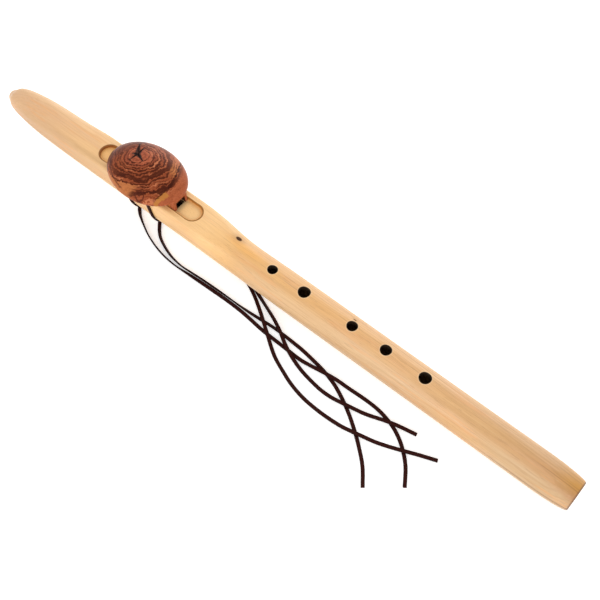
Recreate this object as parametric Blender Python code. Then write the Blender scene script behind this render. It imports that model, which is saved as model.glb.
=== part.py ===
"""A five-hole Native American style flute, lying on its two lace knots and the foot of its tube.

The tube is two routed half shells glued together at a level seam. A plug left in both halves
divides the bore into a slow air chamber, behind, and a sound chamber, in front. Breath leaves
the first chamber by a hole up into the nest, runs under the block along the flue and meets the
splitting edge of the true sound hole. The block is a polished wooden dome on a foot that slides
in the nest. Two leather laces pass through holes in its neck, go round the tube and are knotted
underneath, and their four loose ends trail over the surface that the flute lies on.

Lengths along the flute are counted from the mouth end, and heights from the axis of the bore.
"""

import math

import bmesh
import bpy
from mathutils import Matrix, Vector

MM = 0.001

# Clearances
FIT = 0.3 * MM
SLIDE_FIT = 0.3 * MM
GLUE_LINE = 0.3 * MM

# Tube
TUBE_LENGTH = 600.0 * MM
TUBE_RADIUS = 15.9 * MM
NEST_TUBE_RADIUS = 15.1 * MM
PLATFORM_HEIGHT = 16.5 * MM
SHOULDER_RADIUS = 2.8 * MM
MOUTH_TIP_RADIUS = 4.2 * MM
FOOT_TAPER = 35.0 * MM
FOOT_END_RADIUS = 12.6 * MM
OUTLINE_STEPS = 24

# Bore
BORE_RADIUS = 10.5 * MM
MOUTH_BORE_RADIUS = 3.5 * MM
AIR_CHAMBER_START = 26.0 * MM
BORE_STEPS = 32
CHAMBER_END_STEPS = 6

# Voicing: the plug, the two openings in the nest floor and the flue between them
WINDWAY_WIDTH = 10.4 * MM
SOUND_HOLE_START = 196.0 * MM
SOUND_HOLE_LENGTH = 6.0 * MM
PLUG_LENGTH = 10.0 * MM
PLUG_TO_SOUND_HOLE = 1.0 * MM
EXIT_HOLE_LENGTH = 8.0 * MM
EXIT_HOLE_TO_PLUG = 1.0 * MM
FLUE_DEPTH = 0.9 * MM
SPLITTING_EDGE_THICKNESS = 0.5 * MM
SPLITTING_RAMP_LENGTH = 6.0 * MM

# Nest
NEST_START = 113.0 * MM
NEST_END = 223.5 * MM
NEST_WIDTH = 17.8 * MM
NEST_DEPTH = 2.5 * MM
NEST_END_STEPS = 16
FLAT_BEHIND_NEST = 1.0 * MM
FLAT_SHORT_OF_NEST_END = 5.5 * MM

# Finger holes, as distance from the mouth end and diameter
FINGER_HOLES = [
    (301.8 * MM, 8.4 * MM),
    (334.9 * MM, 10.2 * MM),
    (383.8 * MM, 9.0 * MM),
    (417.4 * MM, 9.4 * MM),
    (455.7 * MM, 10.2 * MM),
]
FINGER_HOLE_EASE = 0.5 * MM
FINGER_HOLE_STEPS = 24

# Block
BLOCK_CENTRE = 165.3 * MM
DOME_HALF_LENGTH = 38.0 * MM
DOME_HALF_WIDTH = 28.8 * MM
DOME_RISE = 13.0 * MM
RIM_HEIGHT = 25.6 * MM
NECK_HEIGHT = 2.6 * MM
NECK_SHARE = 0.45
BLOCK_FOOT_LENGTH = 72.0 * MM
BLOCK_FOOT_RAKE = 2.0 * MM
LEG_OVERHANG = 1.0 * MM
CHIMNEY_HEIGHT = 7.0 * MM
DOME_STEPS = 44
FOOT_END_STEPS = 8
UNDERSIDE_LEVELS = 5
DOME_LEVELS = 8

# Laces
LACE_WIDTH = 3.2 * MM
LACE_THICKNESS = 1.4 * MM
LACE_SPACING = 24.0 * MM
LACE_HOLE_DIAMETER = 4.2 * MM
LACE_HOLE_HEIGHT = 3.5 * MM
LACE_HOLE_STEPS = 16
LACE_LEAN = 8.5 * MM
LACE_LEAN_START = 12.0 * MM
LACE_LEAN_END = 43.0 * MM
LACE_STEP = 2.1 * LACE_WIDTH
LACE_EDGE_ROUNDING = 0.35 * MM
LACE_GROUND_GAP = 0.06 * MM
ROUTE_SUBSTEPS = 12

# Knots
KNOT_THICKNESS = 3.935 * MM
KNOT_HALF_LENGTH = 4.4 * MM
KNOT_STRAND_WIDTH = 1.7 * MM
KNOT_STRAND_THICKNESS = 1.2 * MM
KNOT_PRESS = 0.4 * MM
KNOT_STEPS = 44
KNOT_SIDES = 8

# Values that follow from those above
NEST_FLOOR = PLATFORM_HEIGHT - NEST_DEPTH
SHOULDER_START = NEST_START - FLAT_BEHIND_NEST
SHOULDER_END = NEST_END - FLAT_SHORT_OF_NEST_END
BLOCK_BOTTOM = NEST_FLOOR + SLIDE_FIT
NECK_BOTTOM = PLATFORM_HEIGHT + SLIDE_FIT
LACE_HOLE_LEVEL = PLATFORM_HEIGHT + LACE_HOLE_HEIGHT
SOUND_HOLE_END = SOUND_HOLE_START + SOUND_HOLE_LENGTH
SOUND_CHAMBER_START = SOUND_HOLE_START - PLUG_TO_SOUND_HOLE
AIR_CHAMBER_END = SOUND_CHAMBER_START - PLUG_LENGTH
EXIT_HOLE_END = AIR_CHAMBER_END - EXIT_HOLE_TO_PLUG
EXIT_HOLE_START = EXIT_HOLE_END - EXIT_HOLE_LENGTH
BLOCK_FOOT_FRONT = SOUND_HOLE_END + LEG_OVERHANG
BLOCK_FOOT_REAR = BLOCK_FOOT_FRONT - BLOCK_FOOT_LENGTH
REAR_LACE = BLOCK_CENTRE - LACE_SPACING / 2
FRONT_LACE = BLOCK_CENTRE + LACE_SPACING / 2
REAR_KNOT = REAR_LACE + LACE_LEAN
FRONT_KNOT = FRONT_LACE + LACE_LEAN
FOOT_CONTACT = TUBE_LENGTH - FOOT_TAPER

# The tube lies on the knots and on the start of its foot taper, so it slopes a little
LIE_ANGLE = math.atan2(
    NEST_TUBE_RADIUS + FIT + KNOT_THICKNESS - TUBE_RADIUS,
    FOOT_CONTACT - (REAR_KNOT + FRONT_KNOT) / 2,
)

# Carved sections of the tube: distance from the mouth end, half width, height of the top,
# depth of the bottom and radius of the shoulders. A shoulder radius equal to the half width
# makes the section round.
SECTIONS = [
    (0.0, MOUTH_TIP_RADIUS, MOUTH_TIP_RADIUS, MOUTH_TIP_RADIUS, MOUTH_TIP_RADIUS),
    (0.9 * MM, 5.0 * MM, 5.0 * MM, 5.0 * MM, 4.8 * MM),
    (3.0 * MM, 6.0 * MM, 6.3 * MM, 6.0 * MM, 5.2 * MM),
    (7.0 * MM, 8.8 * MM, 9.4 * MM, 8.8 * MM, 6.6 * MM),
    (11.5 * MM, 10.3 * MM, 11.0 * MM, 10.2 * MM, 7.3 * MM),
    (17.0 * MM, 11.5 * MM, 12.3 * MM, 11.4 * MM, 7.8 * MM),
    (24.0 * MM, 12.5 * MM, 13.3 * MM, 12.3 * MM, 8.1 * MM),
    (32.0 * MM, 13.4 * MM, 14.2 * MM, 13.2 * MM, 8.4 * MM),
    (42.0 * MM, 14.2 * MM, 15.0 * MM, 13.9 * MM, 8.6 * MM),
    (54.0 * MM, 14.7 * MM, 15.6 * MM, 14.4 * MM, 8.6 * MM),
    (68.0 * MM, 15.0 * MM, 15.9 * MM, 14.7 * MM, 8.2 * MM),
    (82.0 * MM, 15.1 * MM, 16.1 * MM, 14.9 * MM, 7.2 * MM),
    (94.0 * MM, 15.1 * MM, 16.3 * MM, 15.0 * MM, 5.4 * MM),
    (104.0 * MM, 15.1 * MM, 16.45 * MM, 15.05 * MM, 3.6 * MM),
    (SHOULDER_START, NEST_TUBE_RADIUS, PLATFORM_HEIGHT, NEST_TUBE_RADIUS, SHOULDER_RADIUS),
    (SHOULDER_END, NEST_TUBE_RADIUS, PLATFORM_HEIGHT, NEST_TUBE_RADIUS, SHOULDER_RADIUS),
    (SHOULDER_END + 10.0 * MM, 15.2 * MM, 16.4 * MM, 15.15 * MM, 3.8 * MM),
    (SHOULDER_END + 20.0 * MM, 15.25 * MM, 16.2 * MM, 15.2 * MM, 5.6 * MM),
    (SHOULDER_END + 30.0 * MM, 15.3 * MM, 15.95 * MM, 15.25 * MM, 8.4 * MM),
    (SHOULDER_END + 40.0 * MM, 15.35 * MM, 15.7 * MM, 15.3 * MM, 12.0 * MM),
    (SHOULDER_END + 50.0 * MM, 15.4 * MM, 15.5 * MM, 15.35 * MM, 14.4 * MM),
    (SHOULDER_END + 62.0 * MM, 15.5 * MM, 15.5 * MM, 15.5 * MM, 15.5 * MM),
    (320.0 * MM, TUBE_RADIUS, TUBE_RADIUS, TUBE_RADIUS, TUBE_RADIUS),
    (400.0 * MM, TUBE_RADIUS, TUBE_RADIUS, TUBE_RADIUS, TUBE_RADIUS),
    (480.0 * MM, TUBE_RADIUS, TUBE_RADIUS, TUBE_RADIUS, TUBE_RADIUS),
    (FOOT_CONTACT, TUBE_RADIUS, TUBE_RADIUS, TUBE_RADIUS, TUBE_RADIUS),
]

# Rounding of the foot: share of the taper's length, and share of the way to the end radius
FOOT_ROUNDING = [(0.34, 0.05), (0.57, 0.2), (0.77, 0.38), (0.91, 0.6), (0.975, 0.8), (1.0, 1.0)]

# Routes of the loose lace ends, as distance from the mouth end, distance to the far side of
# the axis, height of the lace's underside and roll in degrees (0 flat, 90 on edge), in mm
REAR_NEAR_ROUTE = [
    (158.5, -3.2, 0.5, 0), (158.9, -6.2, 0.1, 0), (160.7, -9.0, 0.0, 10), (163.6, -11.9, 0.0, 32),
    (167.6, -15.3, 0.0, 56), (175.4, -20.1, 0.0, 73), (186.0, -25.6, 0.0, 78), (199.0, -30.4, 0.0, 78),
    (212.0, -33.6, 0.0, 75),
    (225.0, -34.9, 0.0, 65), (238.0, -34.0, 0.0, 40), (252.0, -32.8, 0.0, 12), (266.0, -32.5, 0.0, 0),
    (280.0, -32.7, 0.0, 0), (293.0, -33.3, 0.0, 0), (306.0, -34.4, 0.0, 0), (320.0, -35.2, 0.0, 0),
    (333.0, -35.3, 0.0, 0), (347.0, -35.8, 0.0, 0), (361.0, -36.3, 0.1, 0), (371.0, -35.7, 1.1, 0),
    (379.0, -34.8, 1.9, 0), (388.0, -33.5, 2.0, 0), (398.0, -32.5, 1.8, 0), (407.0, -31.9, 0.6, 0),
    (418.0, -31.2, 0.0, 0), (429.0, -31.1, 0.0, 0),
    (440.0, -32.0, 0.0, 0), (453.0, -35.3, 0.0, 0), (464.0, -40.6, 0.0, 0), (473.0, -47.2, 0.0, 0),
    (482.8, -57.1, 0.0, 0), (492.5, -71.6, 0.0, 0),
]
FRONT_NEAR_ROUTE = [
    (182.7, -3.3, 0.4, 0), (182.9, -6.2, 0.1, 0), (184.6, -9.4, 0.0, 8), (187.2, -12.6, 0.0, 24),
    (190.6, -16.4, 0.0, 38), (196.4, -21.2, 0.0, 48), (206.0, -25.8, 0.0, 50), (216.0, -28.8, 0.0, 55),
    (228.0, -30.3, 0.0, 65),
    (240.0, -30.2, 0.0, 75), (252.0, -29.7, 0.0, 78), (266.0, -29.3, 0.0, 78), (280.0, -29.1, 0.0, 70),
    (292.0, -28.8, 0.0, 55), (303.0, -28.2, 0.0, 35), (314.0, -27.6, 0.0, 25), (323.0, -27.2, 0.0, 28),
    (332.0, -27.0, 0.0, 25), (345.0, -27.4, 0.0, 10), (358.0, -28.2, 0.0, 0), (371.0, -30.0, 0.0, 0),
    (384.0, -32.4, 0.0, 0), (397.0, -36.4, 0.0, 0), (410.0, -42.6, 0.0, 0), (422.3, -50.0, 0.0, 0),
    (434.5, -58.7, 0.0, 0), (445.7, -67.9, 0.0, 0), (457.0, -78.6, 0.0, 0), (467.4, -92.3, 0.0, 0),
]
REAR_FAR_ROUTE = [
    (162.4, 5.75, 0.5, 0), (165.3, 9.2, 0.1, 0), (171.0, 12.6, 0.0, 0), (179.0, 14.3, 0.0, 0),
    (187.0, 15.1, 0.0, 0),
    (194.0, 15.3, 0.1, 0), (201.0, 14.7, 0.8, 0), (206.0, 13.6, 1.7, 0), (212.0, 11.5, 2.0, 0),
    (218.0, 9.0, 2.0, 0), (226.0, 5.8, 2.0, 0), (232.0, 3.9, 1.5, 0), (241.0, 2.3, 0.1, 0),
    (251.0, 1.1, 0.0, 0), (262.0, -1.0, 0.0, 0), (273.0, -4.0, 0.0, 0), (281.0, -6.8, 0.0, 5),
    (288.4, -10.2, 0.0, 15), (297.0, -15.2, 0.8, 20), (305.5, -21.0, 2.4, 10), (314.0, -27.0, 3.0, 0),
    (321.0, -31.9, 2.4, 0), (328.0, -36.8, 2.0, 0), (336.0, -42.4, 0.8, 5), (345.0, -48.0, 0.0, 15),
    (357.0, -53.4, 0.0, 20), (371.0, -58.7, 0.0, 15), (386.4, -62.0, 0.0, 5), (404.0, -63.1, 0.1, 0),
    (421.0, -62.6, 0.8, 0), (432.0, -61.2, 1.9, 0), (441.0, -59.1, 1.9, 0), (452.0, -56.1, 0.9, 0),
    (463.0, -52.7, 1.7, 0), (474.0, -48.4, 2.0, 0), (485.0, -43.4, 1.4, 0), (499.6, -37.1, 0.1, 0),
]
FRONT_FAR_ROUTE = [
    (186.2, 5.7, 0.5, 0), (189.4, 8.6, 0.1, 0), (195.4, 10.3, 0.0, 0), (201.5, 10.5, 0.0, 0),
    (208.0, 10.0, 0.0, 0),
    (220.0, 8.8, 0.0, 0), (234.0, 7.5, 0.0, 0), (248.0, 5.8, 0.0, 0), (262.0, 3.1, 0.0, 0),
    (275.0, -0.7, 0.0, 0), (286.0, -5.2, 0.0, 5), (296.0, -10.2, 0.0, 20), (308.0, -15.2, 0.2, 35),
    (321.0, -21.0, 2.0, 25), (332.0, -26.8, 3.0, 15), (339.0, -31.0, 2.5, 5), (346.0, -35.0, 2.0, 0),
    (354.0, -38.8, 1.9, 0), (362.0, -41.6, 0.8, 5), (371.0, -44.0, 0.0, 10), (381.0, -45.9, 0.0, 10),
    (391.0, -47.2, 0.1, 5), (401.0, -47.4, 0.8, 0), (409.0, -46.7, 1.9, 0), (419.0, -44.8, 1.9, 0),
    (430.0, -42.0, 0.7, 0), (438.0, -39.6, 0.9, 0), (446.0, -37.2, 1.9, 0), (455.0, -34.5, 2.0, 0),
    (463.0, -32.4, 1.4, 0), (474.1, -29.7, 0.2, 0),
]


def clear_scene():
    for obj in list(bpy.data.objects):
        bpy.data.objects.remove(obj, do_unlink=True)


def make_material(name, color, roughness):
    material = bpy.data.materials.new(name)
    material.use_nodes = True
    shader = material.node_tree.nodes["Principled BSDF"]
    shader.inputs["Base Color"].default_value = (*color, 1.0)
    shader.inputs["Roughness"].default_value = roughness
    shader.inputs["Metallic"].default_value = 0.0
    material.diffuse_color = (*color, 1.0)
    return material


def make_empty(name, parent, matrix):
    empty = bpy.data.objects.new(name, None)
    bpy.context.collection.objects.link(empty)
    empty.parent = parent
    empty.matrix_local = matrix
    return empty


def finish_mesh(name, bm, parent, material=None, smooth_angle=35.0):
    bmesh.ops.recalc_face_normals(bm, faces=bm.faces)
    mesh = bpy.data.meshes.new(name)
    bm.to_mesh(mesh)
    bm.free()
    mesh.shade_smooth()
    mesh.set_sharp_from_angle(angle=math.radians(smooth_angle))
    obj = bpy.data.objects.new(name, mesh)
    bpy.context.collection.objects.link(obj)
    obj.parent = parent
    if material:
        mesh.materials.append(material)
    else:
        obj.hide_render = True
        obj.display_type = "WIRE"
    return obj


def loft(bm, rings):
    """Skin a stack of closed rings with the same number of points, and cap both ends."""
    loops = [[bm.verts.new(point) for point in ring] for ring in rings]
    for lower, upper in zip(loops, loops[1:]):
        for i in range(len(lower)):
            j = (i + 1) % len(lower)
            bm.faces.new((lower[i], lower[j], upper[j], upper[i]))
    bm.faces.new(loops[0])
    bm.faces.new(reversed(loops[-1]))


def cut(target, cutter, operation="DIFFERENCE"):
    modifier = target.modifiers.new(cutter.name, "BOOLEAN")
    modifier.operation = operation
    modifier.solver = "EXACT"
    modifier.object = cutter


def box_cutter(name, parent, x_range, y_range, z_range):
    bm = bmesh.new()
    bmesh.ops.create_cube(bm, size=1.0)
    size = [high - low for low, high in (x_range, y_range, z_range)]
    middle = [(high + low) / 2 for low, high in (x_range, y_range, z_range)]
    bmesh.ops.scale(bm, vec=size, verts=bm.verts)
    bmesh.ops.translate(bm, vec=middle, verts=bm.verts)
    return finish_mesh(name, bm, parent)


def turned_cutter(name, parent, profile, steps):
    """Turn a profile of (distance along the flute, radius) about the bore axis."""
    bm = bmesh.new()
    rings = []
    for x, radius in profile:
        angles = [2 * math.pi * (k + 0.5) / steps for k in range(steps)]
        rings.append([Vector((x, radius * math.cos(a), radius * math.sin(a))) for a in angles])
    loft(bm, rings)
    return finish_mesh(name, bm, parent)


def upright_cutter(name, parent, x, levels, steps):
    """A round cutter standing at x on the axis, through levels of (height, radius)."""
    bm = bmesh.new()
    rings = []
    for z, radius in levels:
        angles = [2 * math.pi * k / steps for k in range(steps)]
        rings.append([Vector((x + radius * math.cos(a), radius * math.sin(a), z)) for a in angles])
    loft(bm, rings)
    return finish_mesh(name, bm, parent)


def rounded_slot(start, end, half_width, steps):
    """Plan of a slot with round ends, as (x, y) points."""
    points = []
    for centre, first in ((end - half_width, -90.0), (start + half_width, 90.0)):
        for k in range(steps + 1):
            angle = math.radians(first + 180.0 * k / steps)
            points.append((centre + half_width * math.cos(angle), half_width * math.sin(angle)))
    return points


def foot_sections():
    """The tube's carved sections, down to the rounded foot."""
    sections = list(SECTIONS)
    for length_share, radius_share in FOOT_ROUNDING:
        radius = TUBE_RADIUS + (FOOT_END_RADIUS - TUBE_RADIUS) * radius_share
        sections.append((FOOT_CONTACT + FOOT_TAPER * length_share, radius, radius, radius, radius))
    return sections


def top_outline(half_width, top, shoulder):
    """Points (y, z) over the top of a section, from the far side to the near side."""
    points = []
    for k in range(OUTLINE_STEPS):
        angle = math.pi * (k + 0.5) / OUTLINE_STEPS
        side = 1.0 if math.cos(angle) > 0 else -1.0
        y = side * (half_width - shoulder) + shoulder * math.cos(angle)
        points.append((y, top - shoulder + shoulder * math.sin(angle)))
    return points


def bottom_outline(half_width, bottom):
    """Points (y, z) under a section, from the far side to the near side."""
    points = []
    for k in range(OUTLINE_STEPS):
        angle = math.pi * (k + 0.5) / OUTLINE_STEPS
        points.append((half_width * math.cos(angle), -bottom * math.sin(angle)))
    return points


def half_tube(name, parent, upper, material):
    """One glued half of the tube, solid, lofted through the carved sections."""
    seam = GLUE_LINE / 2 if upper else -GLUE_LINE / 2
    rings = []
    for x, half_width, top, bottom, shoulder in foot_sections():
        if upper:
            outline = top_outline(half_width, top, shoulder)
        else:
            outline = bottom_outline(half_width, bottom)
        outline = [(half_width, seam), *outline, (-half_width, seam)]
        rings.append([Vector((x, y, z)) for y, z in outline])
    bm = bmesh.new()
    loft(bm, rings)
    return finish_mesh(name, bm, parent, material)


def bore_cutters(parent):
    """The mouth bore, the slow air chamber with its round rear end, and the sound chamber."""
    overrun = 2.0 * MM
    mouth = turned_cutter(
        "mouth_bore",
        parent,
        [(-overrun, MOUTH_BORE_RADIUS), (AIR_CHAMBER_START + BORE_RADIUS / 2, MOUTH_BORE_RADIUS)],
        BORE_STEPS,
    )
    profile = []
    for k in range(1, CHAMBER_END_STEPS + 1):
        angle = math.pi / 2 * k / CHAMBER_END_STEPS
        x = AIR_CHAMBER_START + BORE_RADIUS * (1 - math.cos(angle))
        profile.append((x, BORE_RADIUS * math.sin(angle)))
    profile.append((AIR_CHAMBER_END, BORE_RADIUS))
    air_chamber = turned_cutter("slow_air_chamber", parent, profile, BORE_STEPS)
    sound_chamber = turned_cutter(
        "sound_chamber",
        parent,
        [(SOUND_CHAMBER_START, BORE_RADIUS), (TUBE_LENGTH + overrun, BORE_RADIUS)],
        BORE_STEPS,
    )
    return [mouth, air_chamber, sound_chamber]


def nest_cutter(parent):
    """The routed nest with round ends that the block slides in."""
    plan = rounded_slot(NEST_START, NEST_END, NEST_WIDTH / 2, NEST_END_STEPS)
    bm = bmesh.new()
    loft(bm, [[Vector((x, y, z)) for x, y in plan] for z in (NEST_FLOOR, 2 * PLATFORM_HEIGHT)])
    return finish_mesh("nest", bm, parent)


def voicing_cutters(parent):
    """Exit hole of the slow air chamber, flue, true sound hole and the ramp under its edge."""
    half = WINDWAY_WIDTH / 2
    into_bore = BORE_RADIUS / 2
    above = NEST_FLOOR + NEST_DEPTH / 2
    exit_hole = box_cutter(
        "exit_hole", parent, (EXIT_HOLE_START, EXIT_HOLE_END), (-half, half), (into_bore, above)
    )
    flue = box_cutter(
        "flue",
        parent,
        (EXIT_HOLE_END - EXIT_HOLE_LENGTH / 2, SOUND_HOLE_START + SOUND_HOLE_LENGTH / 2),
        (-half, half),
        (NEST_FLOOR - FLUE_DEPTH, above),
    )
    sound_hole = box_cutter(
        "sound_hole", parent, (SOUND_HOLE_START, SOUND_HOLE_END), (-half, half), (into_bore, above)
    )
    edge = NEST_FLOOR - SPLITTING_EDGE_THICKNESS
    start = SOUND_HOLE_END - SOUND_HOLE_LENGTH / 2
    ramp_run = SPLITTING_RAMP_LENGTH * (edge - into_bore) / (edge - BORE_RADIUS)
    profile = [
        (start, edge),
        (SOUND_HOLE_END, edge),
        (SOUND_HOLE_END + ramp_run, into_bore),
        (start, into_bore),
    ]
    bm = bmesh.new()
    loft(bm, [[Vector((x, y, z)) for x, z in profile] for y in (-half, half)])
    ramp = finish_mesh("splitting_ramp", bm, parent)
    return [exit_hole, flue, sound_hole, ramp]


def finger_hole_cutters(parent):
    """A straight hole for each finger, its rim eased where the fingertip lies."""
    cutters = []
    for number, (x, diameter) in enumerate(FINGER_HOLES, start=1):
        radius = diameter / 2
        levels = [
            (BORE_RADIUS / 2, radius),
            (TUBE_RADIUS - 2 * FINGER_HOLE_EASE, radius),
            (TUBE_RADIUS + FINGER_HOLE_EASE, radius + 1.5 * FINGER_HOLE_EASE),
            (TUBE_RADIUS + 2 * FINGER_HOLE_EASE, radius + 1.5 * FINGER_HOLE_EASE),
        ]
        cutters.append(upright_cutter(f"finger_hole_{number}", parent, x, levels, FINGER_HOLE_STEPS))
    return cutters


def make_tube(parent):
    upper_wood = make_material("pale_upper_wood", (0.82, 0.56, 0.31), 0.45)
    lower_wood = make_material("pale_lower_wood", (0.80, 0.55, 0.31), 0.45)
    upper = half_tube("body_upper", parent, True, upper_wood)
    lower = half_tube("body_lower", parent, False, lower_wood)
    bores = bore_cutters(parent)
    openings = [nest_cutter(parent)] + voicing_cutters(parent) + finger_hole_cutters(parent)
    for cutter in bores + openings:
        cut(upper, cutter)
    for cutter in bores:
        cut(lower, cutter)


def dome_profile():
    """Levels of the dome as (height, share of its full plan), from the neck up to the crown."""
    neck_top = NECK_BOTTOM + NECK_HEIGHT
    levels = [(NECK_BOTTOM, NECK_SHARE)]
    for k in range(UNDERSIDE_LEVELS + 1):
        u = k / UNDERSIDE_LEVELS
        share = NECK_SHARE + (1 - NECK_SHARE) * math.sin(math.pi / 2 * u)
        levels.append((neck_top + (RIM_HEIGHT - neck_top) * u, share))
    for k in range(1, DOME_LEVELS):
        angle = math.pi / 2 * k / DOME_LEVELS
        levels.append((RIM_HEIGHT + DOME_RISE * math.sin(angle), math.cos(angle)))
    return levels


def make_block(parent):
    """The dome, its neck and its foot, with the chimney between two legs and the lace holes."""
    material = make_material("block_wood", (0.30, 0.10, 0.05), 0.3)
    rings = []
    for z, share in dome_profile():
        ring = []
        for k in range(DOME_STEPS):
            angle = 2 * math.pi * (k + 0.5) / DOME_STEPS
            x = BLOCK_CENTRE + DOME_HALF_LENGTH * share * math.cos(angle)
            ring.append(Vector((x, DOME_HALF_WIDTH * share * math.sin(angle), z)))
        rings.append(ring)
    bm = bmesh.new()
    loft(bm, rings)
    block = finish_mesh("block", bm, parent, material, smooth_angle=50.0)

    half = NEST_WIDTH / 2 - SLIDE_FIT
    rings = []
    for z, rake in ((BLOCK_BOTTOM, 0.0), (RIM_HEIGHT, BLOCK_FOOT_RAKE)):
        front = BLOCK_FOOT_FRONT - rake
        ring = [Vector((front, -half, z)), Vector((front, half, z))]
        for k in range(FOOT_END_STEPS + 1):
            angle = math.radians(90.0 + 180.0 * k / FOOT_END_STEPS)
            x = BLOCK_FOOT_REAR + half + half * math.cos(angle)
            ring.append(Vector((x, half * math.sin(angle), z)))
        rings.append(ring)
    bm = bmesh.new()
    loft(bm, rings)
    cut(block, finish_mesh("block_foot", bm, parent), "UNION")

    chimney = box_cutter(
        "chimney",
        parent,
        (SOUND_HOLE_START, BLOCK_FOOT_FRONT + LEG_OVERHANG),
        (-WINDWAY_WIDTH / 2, WINDWAY_WIDTH / 2),
        (BLOCK_BOTTOM - SLIDE_FIT, BLOCK_BOTTOM + CHIMNEY_HEIGHT),
    )
    cut(block, chimney)
    for name, x in (("rear_lace_hole", REAR_LACE), ("front_lace_hole", FRONT_LACE)):
        cut(block, lace_hole_cutter(name, parent, x))
    return block


def lace_hole_cutter(name, parent, lace_x):
    """A round hole straight across the block's neck."""
    radius = LACE_HOLE_DIAMETER / 2
    angles = [2 * math.pi * k / LACE_HOLE_STEPS for k in range(LACE_HOLE_STEPS)]
    rings = []
    for y in (-DOME_HALF_WIDTH, DOME_HALF_WIDTH):
        ring = []
        for angle in angles:
            x = lace_x + radius * math.cos(angle)
            ring.append(Vector((x, y, LACE_HOLE_LEVEL + radius * math.sin(angle))))
        rings.append(ring)
    bm = bmesh.new()
    loft(bm, rings)
    return finish_mesh(name, bm, parent)


def taut_loop():
    """Middle line (y, z) of a lace pulled tight round the nest section and out of its hole."""
    offset = FIT + LACE_THICKNESS / 2
    radius = NEST_TUBE_RADIUS + offset
    outline = top_outline(radius, PLATFORM_HEIGHT + offset, SHOULDER_RADIUS + offset)
    outline += bottom_outline(radius, radius)
    along_neck = LACE_SPACING / 2 / (DOME_HALF_LENGTH * NECK_SHARE)
    hole_lip = DOME_HALF_WIDTH * NECK_SHARE * math.sqrt(1 - along_neck**2) + offset
    outline += [(hole_lip, LACE_HOLE_LEVEL), (-hole_lip, LACE_HOLE_LEVEL)]
    points = sorted(set(outline))
    hull = []
    for sweep in (points, points[::-1]):
        start = len(hull)
        for point in sweep:
            while len(hull) - start >= 2 and turn(hull[-2], hull[-1], point) <= 0:
                hull.pop()
            hull.append(point)
        hull.pop()
    return hull


def turn(a, b, c):
    return (b[0] - a[0]) * (c[1] - a[1]) - (b[1] - a[1]) * (c[0] - a[0])


def lace_wrap_path(lace_x):
    """Points and outward normals of one wrap, from one side of its knot round to the other."""
    hull = taut_loop()
    lowest = min(range(len(hull)), key=lambda i: (hull[i][1], abs(hull[i][0])))
    hull = hull[lowest:] + hull[: lowest + 1]
    lengths = [0.0]
    for a, b in zip(hull, hull[1:]):
        lengths.append(lengths[-1] + math.dist(a, b))
    total = lengths[-1]
    knot_face = KNOT_HALF_LENGTH + FIT
    path = []
    for (y, z), length in zip(hull, lengths):
        if abs(y) < knot_face and z < 0:
            continue
        from_knot = min(length, total - length)
        share = (LACE_LEAN_END - from_knot) / (LACE_LEAN_END - LACE_LEAN_START)
        share = min(max(share, 0.0), 1.0)
        path.append(Vector((lace_x + LACE_LEAN * share**2 * (3 - 2 * share), y, z)))
    return [reach_knot(path[1], path[0], knot_face), *path, reach_knot(path[-2], path[-1], knot_face)]


def reach_knot(inner, end, knot_face):
    """The point where a line through two path points comes to the face of its knot."""
    step = end - inner
    return end + step * (abs(end.y) - knot_face) / abs(step.y)


def make_leather(name):
    return make_material(f"{name}_leather", (0.045, 0.012, 0.010), 0.55)


def make_wrap(name, lace_x, parent):
    """The stretch of a lace that is tied round the tube and through the block."""
    path = lace_wrap_path(lace_x)
    half_width = LACE_WIDTH / 2
    half_thickness = LACE_THICKNESS / 2
    ease = LACE_EDGE_ROUNDING
    section = [
        (-half_width, -half_thickness + ease),
        (-half_width + ease, -half_thickness),
        (half_width - ease, -half_thickness),
        (half_width, -half_thickness + ease),
        (half_width, half_thickness - ease),
        (half_width - ease, half_thickness),
        (-half_width + ease, half_thickness),
        (-half_width, half_thickness - ease),
    ]
    rings = []
    for i, point in enumerate(path):
        before = path[max(i - 1, 0)]
        after = path[min(i + 1, len(path) - 1)]
        along = (after - before).normalized()
        across = Vector((1, 0, 0))
        out = across.cross(along).normalized()
        rings.append([point + across * u + out * v for u, v in section])
    bm = bmesh.new()
    loft(bm, rings)
    return finish_mesh(name, bm, parent, make_leather(name))


def lie_matrix():
    """Places the flute's own frame in the world, lying on its knots and foot, box centred."""
    tilt = Matrix.Rotation(LIE_ANGLE, 4, "Y")
    contact = tilt @ Vector((FOOT_CONTACT, 0, -TUBE_RADIUS))
    rear = tilt @ Vector((0, 0, -MOUTH_TIP_RADIUS))
    front = tilt @ Vector((TUBE_LENGTH, 0, FOOT_END_RADIUS))
    return Matrix.Translation((-(rear.x + front.x) / 2, 0, -contact.z)) @ tilt


def to_world(x, y):
    """A place on the resting surface, from its distance along the flute."""
    point = lie_matrix() @ Vector((x, y, -TUBE_RADIUS))
    return point.x, y


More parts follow.
